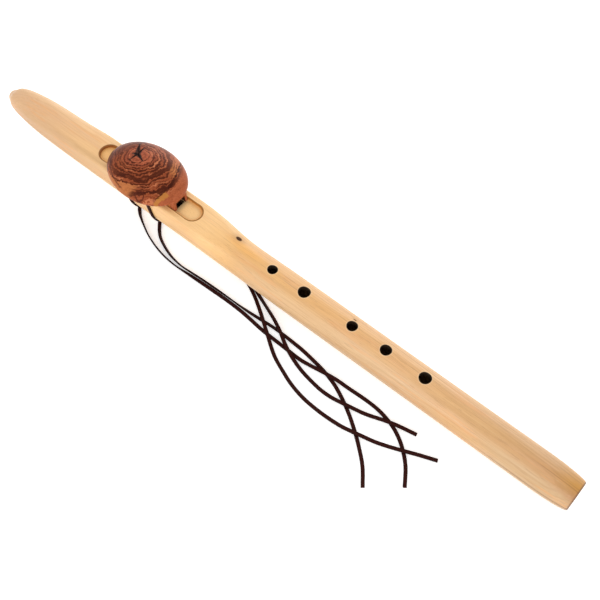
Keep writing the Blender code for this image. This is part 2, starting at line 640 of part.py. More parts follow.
def make_knot(name, knot_x, hand, parent):
    """A flattened overhand knot under the tube, pressed flat where it carries the flute.

    hand is 1 or -1: the two knots are tied opposite ways, so that they rest evenly on both sides.
    """
    underside = lie_matrix() @ Vector((knot_x, 0, -NEST_TUBE_RADIUS))
    height = underside.z - FIT
    half_width = KNOT_STRAND_WIDTH / 2
    half_thickness = KNOT_STRAND_THICKNESS / 2
    depth = (height + KNOT_PRESS) / 2 - half_thickness
    middle = Vector((underside.x, 0, (height - KNOT_PRESS) / 2))
    trefoil = []
    for k in range(KNOT_STEPS):
        t = 2 * math.pi * k / KNOT_STEPS
        x = math.cos(t) - 2 * math.cos(2 * t)
        trefoil.append((x, math.sin(t) + 2 * math.sin(2 * t), -hand * math.sin(3 * t)))
    spread = (KNOT_HALF_LENGTH - half_width) / max(y for _, y, _ in trefoil)
    centres = [middle + Vector((spread * x, spread * y, depth * z)) for x, y, z in trefoil]
    bm = bmesh.new()
    loops = []
    for k, centre in enumerate(centres):
        along = (centres[(k + 1) % KNOT_STEPS] - centres[k - 1]).normalized()
        side = along.cross(Vector((0, 0, 1))).normalized()
        up = side.cross(along)
        loop = []
        for j in range(KNOT_SIDES):
            angle = 2 * math.pi * (j + 0.5) / KNOT_SIDES
            point = centre + half_width * math.cos(angle) * side
            point += half_thickness * math.sin(angle) * up
            point.z = max(point.z, 0.0)
            loop.append(bm.verts.new(point))
        loops.append(loop)
    for k, loop in enumerate(loops):
        following = loops[(k + 1) % KNOT_STEPS]
        for j in range(KNOT_SIDES):
            i = (j + 1) % KNOT_SIDES
            bm.faces.new((loop[j], loop[i], following[i], following[j]))
    knot = finish_mesh(name, bm, parent, make_leather(name), smooth_angle=60.0)
    knot.matrix_parent_inverse = parent.matrix_world.inverted()
    return knot


def resting_height(angle):
    """Height of a rolled lace's middle above the surface that it rests on."""
    flat_part = (LACE_WIDTH - LACE_THICKNESS) / 2
    return flat_part * math.sin(angle) + LACE_THICKNESS / 2 + LACE_GROUND_GAP


def smooth_route(route):
    """Evenly spaced points (x, y, z, roll) on a smooth curve through a lace's route."""
    stops = []
    for x, y, lift, roll in route:
        world_x, world_y = to_world(x * MM, y * MM)
        angle = math.radians(roll)
        stops.append(Vector((world_x, world_y, lift * MM + resting_height(angle), angle)))
    padded = [2 * stops[0] - stops[1], *stops, 2 * stops[-1] - stops[-2]]
    fine = []
    for a, b, c, d in zip(padded, padded[1:], padded[2:], padded[3:]):
        bend = 2 * a - 5 * b + 4 * c - d
        twist = 3 * b - a - 3 * c + d
        for k in range(ROUTE_SUBSTEPS):
            u = k / ROUTE_SUBSTEPS
            fine.append(0.5 * (2 * b + (c - a) * u + bend * u**2 + twist * u**3))
    fine.append(stops[-1])
    lengths = [0.0]
    for a, b in zip(fine, fine[1:]):
        lengths.append(lengths[-1] + (b - a).xyz.length)
    count = max(2, round(lengths[-1] / LACE_STEP))
    points = []
    index = 0
    for k in range(count + 1):
        target = lengths[-1] * k / count
        while index < len(fine) - 2 and lengths[index + 1] < target:
            index += 1
        share = (target - lengths[index]) / (lengths[index + 1] - lengths[index])
        points.append(fine[index].lerp(fine[index + 1], share))
    return points


def make_lace_end(name, route, parent):
    """One loose end of a lace: a flat cord that lies on the surface under the flute."""
    points = smooth_route(route)
    curve = bpy.data.curves.new(name, "CURVE")
    curve.dimensions = "3D"
    curve.twist_mode = "Z_UP"
    curve.bevel_depth = LACE_THICKNESS / 2
    curve.bevel_resolution = 2
    curve.extrude = (LACE_WIDTH - LACE_THICKNESS) / 2
    curve.use_fill_caps = True
    spline = curve.splines.new("POLY")
    spline.points.add(len(points) - 1)
    for target, point in zip(spline.points, points):
        target.co = (point.x, point.y, max(point.z, resting_height(point.w)), 1.0)
        target.tilt = math.pi / 2 - point.w
    curve.materials.append(make_leather(name))
    obj = bpy.data.objects.new(name, curve)
    bpy.context.collection.objects.link(obj)
    obj.parent = parent
    obj.matrix_parent_inverse = parent.matrix_world.inverted()
    return obj


def build_flute():
    clear_scene()
    flute = make_empty("flute_axis", None, lie_matrix())
    slide_start = Matrix.Translation((BLOCK_CENTRE, 0, NEST_FLOOR))
    slide = make_empty("block_slide_axis", flute, slide_start)
    bpy.context.view_layer.update()
    make_tube(flute)

    moving = make_empty("block_pieces", slide, slide_start.inverted())
    bpy.context.view_layer.update()
    make_block(moving)
    laces = (
        ("rear", REAR_LACE, REAR_KNOT, 1, REAR_NEAR_ROUTE, REAR_FAR_ROUTE),
        ("front", FRONT_LACE, FRONT_KNOT, -1, FRONT_NEAR_ROUTE, FRONT_FAR_ROUTE),
    )
    for place, lace_x, knot_x, hand, near_route, far_route in laces:
        make_wrap(f"lace_{place}_wrap", lace_x, moving)
        make_knot(f"lace_{place}_knot", knot_x, hand, moving)
        make_lace_end(f"lace_{place}_end_near", near_route, moving)
        make_lace_end(f"lace_{place}_end_far", far_route, moving)
    bpy.context.view_layer.update()


build_flute()
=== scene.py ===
import math

import bmesh
import bpy
from mathutils import Matrix, Vector


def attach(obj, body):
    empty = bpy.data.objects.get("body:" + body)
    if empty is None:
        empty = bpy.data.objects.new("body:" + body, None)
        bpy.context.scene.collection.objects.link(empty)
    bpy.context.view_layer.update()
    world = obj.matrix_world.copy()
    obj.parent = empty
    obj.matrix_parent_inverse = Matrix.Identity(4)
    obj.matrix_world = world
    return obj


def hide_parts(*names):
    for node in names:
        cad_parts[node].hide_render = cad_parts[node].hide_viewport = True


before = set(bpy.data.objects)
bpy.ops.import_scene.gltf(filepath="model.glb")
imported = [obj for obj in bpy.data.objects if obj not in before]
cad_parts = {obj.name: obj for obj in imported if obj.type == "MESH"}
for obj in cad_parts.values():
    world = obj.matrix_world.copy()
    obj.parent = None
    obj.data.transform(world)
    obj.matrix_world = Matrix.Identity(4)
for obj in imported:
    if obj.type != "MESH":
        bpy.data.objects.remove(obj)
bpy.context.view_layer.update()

# A five-hole flute with a polished burl block, tied on with two dark leather laces. Pieces are
# shaped in the flute's own frame, in millimetres: x from the mouth end, z from the bore's axis.
# lay_down() then puts them in the room, where the flute lies on its two knots and its foot.

MM = 0.001

TUBE_LENGTH = 600.0
TUBE_RADIUS = 15.9
NEST_TUBE_RADIUS = 15.1
PLATFORM_HEIGHT = 16.5
SHOULDER_RADIUS = 2.8
MOUTH_TIP_RADIUS = 4.2
FOOT_TAPER = 35.0
FOOT_END_RADIUS = 12.6
BORE_RADIUS = 10.5
MOUTH_BORE_RADIUS = 3.5
AIR_CHAMBER_START = 26.0
AIR_CHAMBER_END = 185.0
SOUND_CHAMBER_START = 195.0
WINDWAY_WIDTH = 10.4
EXIT_HOLE = (176.0, 184.0)
SOUND_HOLE = (196.0, 202.0)
FLUE_DEPTH = 0.9
SPLITTING_EDGE = 0.5
RAMP_LENGTH = 6.0
NEST = (113.0, 223.5)
NEST_WIDTH = 17.8
NEST_FLOOR = 14.0
ABOVE_TUBE = 30.0
FINGER_HOLES = [(301.8, 8.4), (334.9, 10.2), (383.8, 9.0), (417.4, 9.4), (455.7, 10.2)]

BLOCK_CENTRE = 165.3
DOME_HALF_LENGTH = 38.0
DOME_HALF_WIDTH = 28.8
DOME_RISE = 13.0
RIM_HEIGHT = 25.6
CROWN = RIM_HEIGHT + DOME_RISE
NECK_BOTTOM = 16.8
NECK_TOP = 19.4
NECK_SHARE = 0.45
BLOCK_BOTTOM = 14.3
BLOCK_FOOT = (131.0, 203.0)
BLOCK_FOOT_RAKE = 2.0
CHIMNEY_TOP = 21.3
STAR_MIDDLE = (-14.3, 4.4)
STAR_DEPTH = 1.9
STAR_ARMS = [
    (-21.6, 14.8, 1.9), (-14.5, 12.6, 1.9), (-5.6, 1.0, 1.8), (-14.9, -4.4, 1.0), (-17.8, 2.2, 1.7),
]
LACE_HOLE_LEVEL = 20.0
LACE_HOLE_RADIUS = 2.1

FIT = 0.3
LACE_WIDTH = 3.2
LACE_THICKNESS = 1.4
LACE_GROUND_GAP = 0.06
LACE_END_STEP = 1.4
WRAP_STEP = 0.9
ROUTE_PARTS = 12
REAR_LACE = 153.3
FRONT_LACE = 177.3
LACE_LEAN = 8.5
LACE_LEAN_START = 12.0
LACE_LEAN_END = 43.0
KNOT_THICKNESS = 3.935
KNOT_HALF_LENGTH = 4.4
KNOT_STRAND = (1.7, 1.2)
KNOT_PRESS = 0.4
KNOT_STEPS = 132
STRAND_SIDES = 16

FOOT_CONTACT = TUBE_LENGTH - FOOT_TAPER
LIE_ANGLE = math.atan2(
    NEST_TUBE_RADIUS + FIT + KNOT_THICKNESS - TUBE_RADIUS,
    FOOT_CONTACT - (REAR_LACE + FRONT_LACE) / 2 - LACE_LEAN,
)


def lie_matrix():
    """From the flute's own frame to the room, both in millimetres."""
    tilt = Matrix.Rotation(LIE_ANGLE, 4, "Y")
    contact = tilt @ Vector((FOOT_CONTACT, 0, -TUBE_RADIUS))
    rear = tilt @ Vector((0, 0, -MOUTH_TIP_RADIUS))
    front = tilt @ Vector((TUBE_LENGTH, 0, FOOT_END_RADIUS))
    return Matrix.Translation((-(rear.x + front.x) / 2, 0, -contact.z)) @ tilt


LIE = lie_matrix()
TO_ROOM = Matrix.Scale(MM, 4) @ LIE


def mid(span):
    return (span[0] + span[1]) / 2


def room(point):
    """A point of the flute's frame as metres in the room."""
    return TO_ROOM @ Vector(point)


# Camera: the photograph's angle, distance and lens
CAMERA_TURN = math.radians(32.986)
CAMERA_RISE = math.radians(59.574)
CAMERA_ROLL = math.radians(6.274)
CAMERA_TARGET = Vector((331.96, -0.5, 0.0))
CAMERA_DISTANCE = 948.3
CAMERA_LENS = 1152.3 / 600 * 36


def make_camera():
    level = math.cos(CAMERA_RISE)
    toward = Vector((
        math.sin(CAMERA_TURN) * level, -math.cos(CAMERA_TURN) * level, math.sin(CAMERA_RISE),
    ))
    right = (-toward).cross(Vector((0, 0, 1))).normalized()
    up = right.cross(-toward)
    rolled_right = right * math.cos(CAMERA_ROLL) + up * math.sin(CAMERA_ROLL)
    rolled_up = up * math.cos(CAMERA_ROLL) - right * math.sin(CAMERA_ROLL)
    turn = (LIE.to_3x3() @ Matrix((rolled_right, rolled_up, toward)).transposed()).to_4x4()
    place = room(CAMERA_TARGET + CAMERA_DISTANCE * toward)
    data = bpy.data.cameras.new("photo_camera")
    data.sensor_fit = "HORIZONTAL"
    data.sensor_width = 36.0
    data.lens = CAMERA_LENS
    data.clip_end = 20.0
    camera = bpy.data.objects.new("photo_camera", data)
    bpy.context.collection.objects.link(camera)
    camera.matrix_world = Matrix.Translation(place) @ turn
    bpy.context.scene.camera = camera


make_camera()


# Finishes

class Tone:
    """A value of a finish that varies over the surface; sums on it add their own nodes."""

    def __init__(self, finish, socket):
        self.finish = finish
        self.socket = socket

    def __add__(self, other):
        return self.finish.math("ADD", self, other)

    def __radd__(self, other):
        return self.finish.math("ADD", other, self)

    def __sub__(self, other):
        return self.finish.math("SUBTRACT", self, other)

    def __rsub__(self, other):
        return self.finish.math("SUBTRACT", other, self)

    def __mul__(self, other):
        return self.finish.math("MULTIPLY", self, other)

    def __rmul__(self, other):
        return self.finish.math("MULTIPLY", other, self)

    def __truediv__(self, other):
        return self.finish.math("DIVIDE", self, other)

    def __neg__(self):
        return 0.0 - self

    def __abs__(self):
        return self.finish.math("ABSOLUTE", self)

    def step(self, low, high):
        """0 below low, 1 above high, smooth between."""
        settings = {"interpolation_type": "SMOOTHSTEP"}
        sockets = {0: self, 1: low, 2: high, 3: 0.0, 4: 1.0}
        return self.finish.node("MapRange", settings, sockets)

    def fade(self, low, high):
        """1 below low, 0 above high, smooth between."""
        return 1 - self.step(low, high)


class Finish:
    """The node tree of one finish, built up in a maker's steps; color is its colour so far."""

    def __init__(self, name):
        self.material = bpy.data.materials.new(name)
        self.material.use_nodes = True
        self.tree = self.material.node_tree
        self.shader = self.tree.nodes["Principled BSDF"]
        self.color = None

    def node(self, kind, settings=None, sockets=None, out=0):
        node = self.tree.nodes.new("ShaderNode" + kind)
        for key, value in (settings or {}).items():
            if key == "stops":
                self.set_stops(node.color_ramp, value)
            else:
                setattr(node, key, value)
        for key, value in (sockets or {}).items():
            self.feed(node.inputs[key], value)
        return Tone(self, node.outputs[out])

    def feed(self, socket, value):
        if isinstance(value, Tone):
            self.tree.links.new(value.socket, socket)
        elif isinstance(value, tuple) and socket.type == "RGBA":
            socket.default_value = (*value, 1.0)
        else:
            socket.default_value = value

    def set_stops(self, ramp, stops):
        while len(ramp.elements) < len(stops):
            ramp.elements.new(0.5)
        for element, (place, color) in zip(ramp.elements, stops):
            element.position = place
            element.color = (*color, 1.0)

    def math(self, operation, a, b=0.0):
        return self.node("Math", {"operation": operation}, {0: a, 1: b})

    def positive(self, value):
        """The value itself above 0, and 0 elsewhere."""
        return self.math("MAXIMUM", value, 0.0)

    def flute_place(self):
        """Places on the piece as millimetres in the flute's own frame."""
        sockets = {
            "Vector": self.node("TexCoord", out="Object"),
            "Location": tuple(TO_ROOM.translation),
            "Rotation": (0.0, LIE_ANGLE, 0.0),
            "Scale": (MM, MM, MM),
        }
        return self.node("Mapping", {"vector_type": "TEXTURE"}, sockets)

    def split(self, vector):
        first = self.node("SeparateXYZ", None, {0: vector})
        return [Tone(self, socket) for socket in first.socket.node.outputs]

    def join(self, x, y, z):
        return self.node("CombineXYZ", None, {0: x, 1: y, 2: z})

    def shifted(self, vector, offset):
        return self.node("VectorMath", {"operation": "ADD"}, {0: vector, 1: offset})

    def length(self, *parts):
        """Distance from zero, from two or three distances at right angles."""
        vector = self.join(*parts, *[0.0] * (3 - len(parts)))
        return self.node("VectorMath", {"operation": "LENGTH"}, {0: vector}, out="Value")

    def noise(self, place, fineness=None, detail=2.0, roughness=0.5, shift=None, out=0):
        """A cloudy figure from 0 to 1; fineness is per millimetre, one number or one each way."""
        if shift:
            place = self.shifted(place, shift)
        if fineness:
            each_way = fineness if isinstance(fineness, tuple) else (fineness,) * 3
            place = self.node("VectorMath", {"operation": "MULTIPLY"}, {0: place, 1: each_way})
        sockets = {"Vector": place, "Scale": 1.0, "Detail": detail, "Roughness": roughness}
        return self.node("TexNoise", None, sockets, out)

    def ramp(self, value, stops):
        return self.node("ValToRGB", {"stops": stops}, {0: value})

    def blend(self, share, low, high):
        return self.node("Mix", {"data_type": "RGBA"}, {0: share, 6: low, 7: high}, out=2)

    def tint(self, share, tone):
        """Lay one more tone over the colour so far."""
        self.color = self.blend(share, self.color, tone)

    def bump(self, height, strength, distance):
        sockets = {"Height": height, "Strength": strength, "Distance": distance}
        return self.node("Bump", None, sockets)

    def set(self, **sockets):
        for key, value in sockets.items():
            self.feed(self.shader.inputs[key.replace("_", " ")], value)
        return self.material


# Dark grain lines at the foot: place across, width and start along the tube
FOOT_LINES = ((-3.2, 0.6, 545.0), (-1.2, 0.4, 572.0), (4.6, 0.35, 560.0), (7.4, 0.3, 550.0))
# Small knots in the wood: place along and across, reach along and across, strength
WOOD_KNOTS = ((261.6, 5.3, 3.0, 1.9, 1.0), (381.9, 6.4, 1.7, 0.6, 0.8))


def pale_wood(name, pith, seed):
    """Straight-grained pale softwood under a satin oil; pith is where the tree's heart lay."""
    wood = Finish(name)
    place = wood.flute_place()
    along, across, up = wood.split(place)
    wood.color = wood.ramp(along / TUBE_LENGTH, [
        (0.0, (0.70, 0.42, 0.22)), (0.10, (0.78, 0.47, 0.24)), (0.17, (0.87, 0.53, 0.245)),
        (0.39, (0.95, 0.59, 0.26)), (0.45, (0.82, 0.46, 0.17)), (0.60, (0.80, 0.45, 0.18)),
        (0.74, (0.78, 0.45, 0.20)), (0.85, (0.70, 0.41, 0.18)), (0.94, (0.60, 0.34, 0.145)),
        (0.983, (0.54, 0.29, 0.11)), (1.0, (0.44, 0.20, 0.065)),
    ])

    # the figure's parts: growth rings round the pith, fibres, streaks, vessels and flecks
    drift = wood.noise(place, (0.004, 0.02, 0.02), shift=(seed, 0, 0))
    waver = wood.noise(place, (0.016, 0.12, 0.12), 3.0, shift=(0, seed, 0))
    from_pith = wood.length(0.0, across - pith[0], up - pith[1])
    ring_place = from_pith + drift * 10.0 + waver * 2.4
    ring_width = 1.9
    uneven = wood.noise(wood.join(ring_place * 0.23, seed, 0.0))
    rings = wood.math("FRACT", (ring_place + uneven * 3.0) / ring_width)
    late_wood = rings.step(0.50, 0.88) * rings.fade(0.93, 1)
    depth = wood.noise(wood.join(ring_place * 0.11, seed, 4.0)).step(0.38, 0.68)
    fibre = wood.noise(place, (0.03, 1.9, 1.9), 4.0, 0.6)
    streak = wood.noise(place, (0.009, 0.5, 0.5), 3.0, 0.55, shift=(0, 0, seed))
    hair = wood.noise(place, (0.02, 4.5, 4.5))
    tick = wood.noise(place, (0.07, 1.25, 1.25), shift=(seed, seed, 0))
    blush = wood.noise(place, (0.022, 0.11, 0.11), shift=(0, 0, 2 * seed))
    wood.tint(blush.step(0.42, 0.72) * 0.35, (0.74, 0.42, 0.25))

    # a honey-coloured spot between the nest and the first finger hole
    honey = wood.length((along - 273.0) / 24.0, (across - 1.5) / 6.0, (up - 15.0) / 8.0)
    wood.tint(honey.fade(0.3, 1.1) * 0.62, (0.94, 0.48, 0.13))

    # painted light: a painted highlight paler towards the far upper side and a painted sheen,
    # duller and pinker, along the near side; also darker low on the near side by the mouth
    by_mouth = along.fade(95, 200)
    far_highlight = across.step(0, 9) * up.step(-4, 4)
    wood.tint(far_highlight * (0.22 + 0.2 * by_mouth), (1.0, 0.67, 0.37))
    # painted sheen: duller and pinker along the near side
    near_sheen = across.fade(-14.5, -3)
    holes_stretch = along.step(250, 300) * along.fade(440, 500)
    wood.tint(near_sheen * holes_stretch * 0.5, (0.64, 0.46, 0.28))
    low_side = across.fade(-13.5, -8.5)
    wood.tint(low_side * by_mouth * 0.42, (0.46, 0.27, 0.12))
    wood.tint(low_side * along.step(500, 545) * 0.5, (0.62, 0.46, 0.27))

    # the figure, stronger towards the foot
    toward_foot = along.step(230, 420)
    ring_share = (0.08 + 0.27 * depth) * (0.5 + 0.85 * toward_foot)
    wood.tint(late_wood * ring_share, (0.44, 0.21, 0.075))
    wood.tint(streak.step(0.50, 0.72) * (0.07 + 0.19 * toward_foot), (0.53, 0.27, 0.10))
    wood.tint((1 - streak).step(0.56, 0.76) * 0.15, (0.97, 0.69, 0.38))
    flame = blush.step(0.50, 0.60) * streak.step(0.44, 0.60)
    wood.tint(flame * 0.3, (0.86, 0.40, 0.12))
    wood.tint(fibre.step(0.50, 0.74) * 0.28, (0.52, 0.28, 0.115))
    wood.tint((1 - fibre).step(0.54, 0.78) * 0.18, (0.98, 0.74, 0.44))
    vessel = hair.step(0.60, 0.67) * (0.35 + 0.65 * toward_foot)
    wood.tint(vessel * 0.36, (0.36, 0.17, 0.065))
    ticked = tick.step(0.60, 0.68) * (0.25 + 0.75 * along.step(200, 300))
    wood.tint(ticked * 0.32, (0.40, 0.20, 0.085))

    # the foot: tan towards its far side, with four dark grain lines and a scorched-looking rim
    tan_end = along.step(572, 598) * across.step(-9, 1)
    wood.tint(tan_end * 0.75, (0.60, 0.29, 0.048))
    for y, width, start in FOOT_LINES:
        off_line = abs(across - y - (waver - 0.5) * 1.6)
        line = off_line.fade(0.1, width) * along.step(start, start + 30.0)
        wood.tint(line * up.step(0, 2) * 0.5, (0.26, 0.115, 0.035))
    wood.tint(along.step(TUBE_LENGTH - 1.8, TUBE_LENGTH - 0.5) * 0.8, (0.17, 0.075, 0.032))

    # the glue seam between the two halves, wider and darker by the foot
    by_foot = along.step(500, 560)
    seam = (abs(up) / (1 + by_foot)).fade(0.15, 0.5)
    wood.tint(seam * (0.25 + 0.6 * by_foot), (0.25, 0.12, 0.05))

    # two small knots, with the fibre a little darker round them
    matt = 0.0
    upper_side = up.step(6, 7)
    for x, y, reach_along, reach_across, strength in WOOD_KNOTS:
        off = wood.length((along - x) / reach_along, (across - y) / reach_across)
        halo = off.fade(0.8, 3.4) * upper_side
        wood.tint(halo * 0.35 * strength, (0.42, 0.19, 0.06))
        core = off.fade(0.75, 1.15) * upper_side
        wood.tint(core * 0.97 * strength, (0.050, 0.016, 0.005))
        matt = core * 0.6 + matt

    # the nest's wall, partly burnt brown by the cutter and partly painted shade, darkest at the
    # rear end where the wall stands in shade, and a trace of it on both of its corners
    past_middle = abs(along - mid(NEST))
    past_centre = wood.positive(past_middle - (NEST[1] - NEST[0] - NEST_WIDTH) / 2)
    off_wall = wood.length(past_centre, across) - NEST_WIDTH / 2
    rear_end = along.fade(NEST[0], NEST[0] + 14.0)
    front_end = along.step(NEST[1] - 12.0, NEST[1] - 2.0)
    within_nest = wood.positive(-off_wall)
    past_nest = wood.positive(off_wall - 0.8 * rear_end - 0.5 * front_end)
    on_wall = (within_nest + past_nest).fade(0.30, 0.85)
    on_wall = on_wall * up.step(NEST_FLOOR - 0.6, NEST_FLOOR - 0.3)
    # painted shade over the cutter's burn, deeper at the rear end
    burn_and_shade = wood.blend(rear_end, (0.46, 0.175, 0.013), (0.32, 0.095, 0.006))
    by_top = up.step(PLATFORM_HEIGHT - 1.0, PLATFORM_HEIGHT - 0.2)
    burn_and_shade = wood.blend(by_top * 0.55, burn_and_shade, (0.17, 0.058, 0.006))
    wood.tint(on_wall * 0.96, burn_and_shade)
    matt = on_wall * 0.45 + matt

    # the nest's floor, freshly cut, with painted shade in amber by its walls
    flue_floor = NEST_FLOOR - FLUE_DEPTH
    nest_floor = off_wall.fade(-0.2, 0) * up.fade(NEST_FLOOR + 0.1, NEST_FLOOR + 0.3)
    nest_floor = nest_floor * up.step(flue_floor - 0.5, flue_floor - 0.2)
    pores = wood.noise(place, (0.5, 2.4, 2.4), 3.0, 0.6).step(0.5, 0.75)
    floor_tone = wood.blend(along.step(150, 180), (1.0, 0.56, 0.20), (1.0, 0.63, 0.27))
    wood.tint(nest_floor * 0.95, floor_tone)
    # painted shade: amber on the floor near the walls
    wall_shade = off_wall.step(-3.6, -0.4)
    wood.tint(nest_floor * wall_shade * 0.55, (0.97, 0.48, 0.12))
    wood.tint(nest_floor * pores * 0.4, (0.62, 0.34, 0.12))

    # the true sound hole: a painted shadow round it on the nest's floor, and its walls painted dark
    hole_reach = (SOUND_HOLE[1] - SOUND_HOLE[0]) / 2
    off_hole = wood.positive(abs(along - mid(SOUND_HOLE)) - hole_reach)
    # painted shadow on the nest's floor round the hole
    hole_shadow = off_hole.fade(0, 5.5) * up.step(NEST_FLOOR - 0.4, NEST_FLOOR - 0.1)
    hole_shadow = hole_shadow * (NEST_FLOOR + 0.6 - up).step(0, 0.3) * abs(across).fade(6, 8)
    wood.tint(hole_shadow * 0.55, (0.20, 0.155, 0.085))
    wall_y = WINDWAY_WIDTH / 2
    hole_walls = off_hole.fade(0.1, 0.4) * up.fade(flue_floor + 0.1, flue_floor + 0.5)
    hole_walls = hole_walls * up.step(9, 10)
    hole_walls = hole_walls * abs(across).fade(wall_y + 0.1, wall_y + 0.4)
    wood.tint(hole_walls * 0.9, (0.035, 0.018, 0.010))

    # bores, coloured dark inside
    around = wood.length(0.0, across, up)
    past_mouth = along.step(AIR_CHAMBER_START - 0.6, AIR_CHAMBER_START)
    in_chambers = past_mouth * around.fade(BORE_RADIUS + 0.06, BORE_RADIUS + 0.4)
    in_mouth = (1 - past_mouth) * around.fade(MOUTH_BORE_RADIUS, MOUTH_BORE_RADIUS + 0.25)
    wood.tint((in_chambers + in_mouth) * 0.8, (0.12, 0.055, 0.025))

    # finger holes: a paler ring round each, and a dark band on its eased rim
    above_middle = up.step(3, 4)
    for x, diameter in FINGER_HOLES:
        from_hole = wood.length(along - x, across)
        reach = diameter / 2
        rim = from_hole.fade(reach + 0.7, reach + 1.2) * above_middle
        wood.tint(rim * 0.35, (0.94, 0.70, 0.42))
        dark_band = from_hole.fade(reach + 0.18, reach + 0.46) * above_middle
        wood.tint(dark_band * 0.97, (0.010, 0.005, 0.004))

    relief = wood.bump(fibre * 0.6 + late_wood * 0.4, 0.2, 0.12 * MM)
    roughness = 0.36 + 0.12 * fibre - 0.06 * late_wood + nest_floor * 0.2 + matt
    return wood.set(Base_Color=wood.color, Roughness=roughness, Normal=relief)


# Growth rings of the burl: millimetres from their middle, and how dark
BURL_RINGS = (
    (4.0, 0.3), (7.2, 0.1), (8.8, 0.8), (10.0, 0.05), (12.6, 0.9), (13.6, 0.05), (15.6, 0.8),
    (16.6, 0.1), (18.4, 0.9), (19.8, 0.05), (21.8, 1.0), (23.2, 0.15), (25.0, 1.0), (26.2, 0.65),
    (28.2, 1.0), (29.6, 0.05), (31.6, 1.0), (32.8, 0.0), (34.4, 0.7), (35.6, 0.0), (37.4, 0.8),
    (38.4, 0.2), (39.4, 1.0), (41.0, 0.95), (42.2, 0.05), (46.0, 0.1), (47.2, 0.5), (48.6, 0.05),
    (54.0, 0.3),
)
BURL_REACH = 60.0


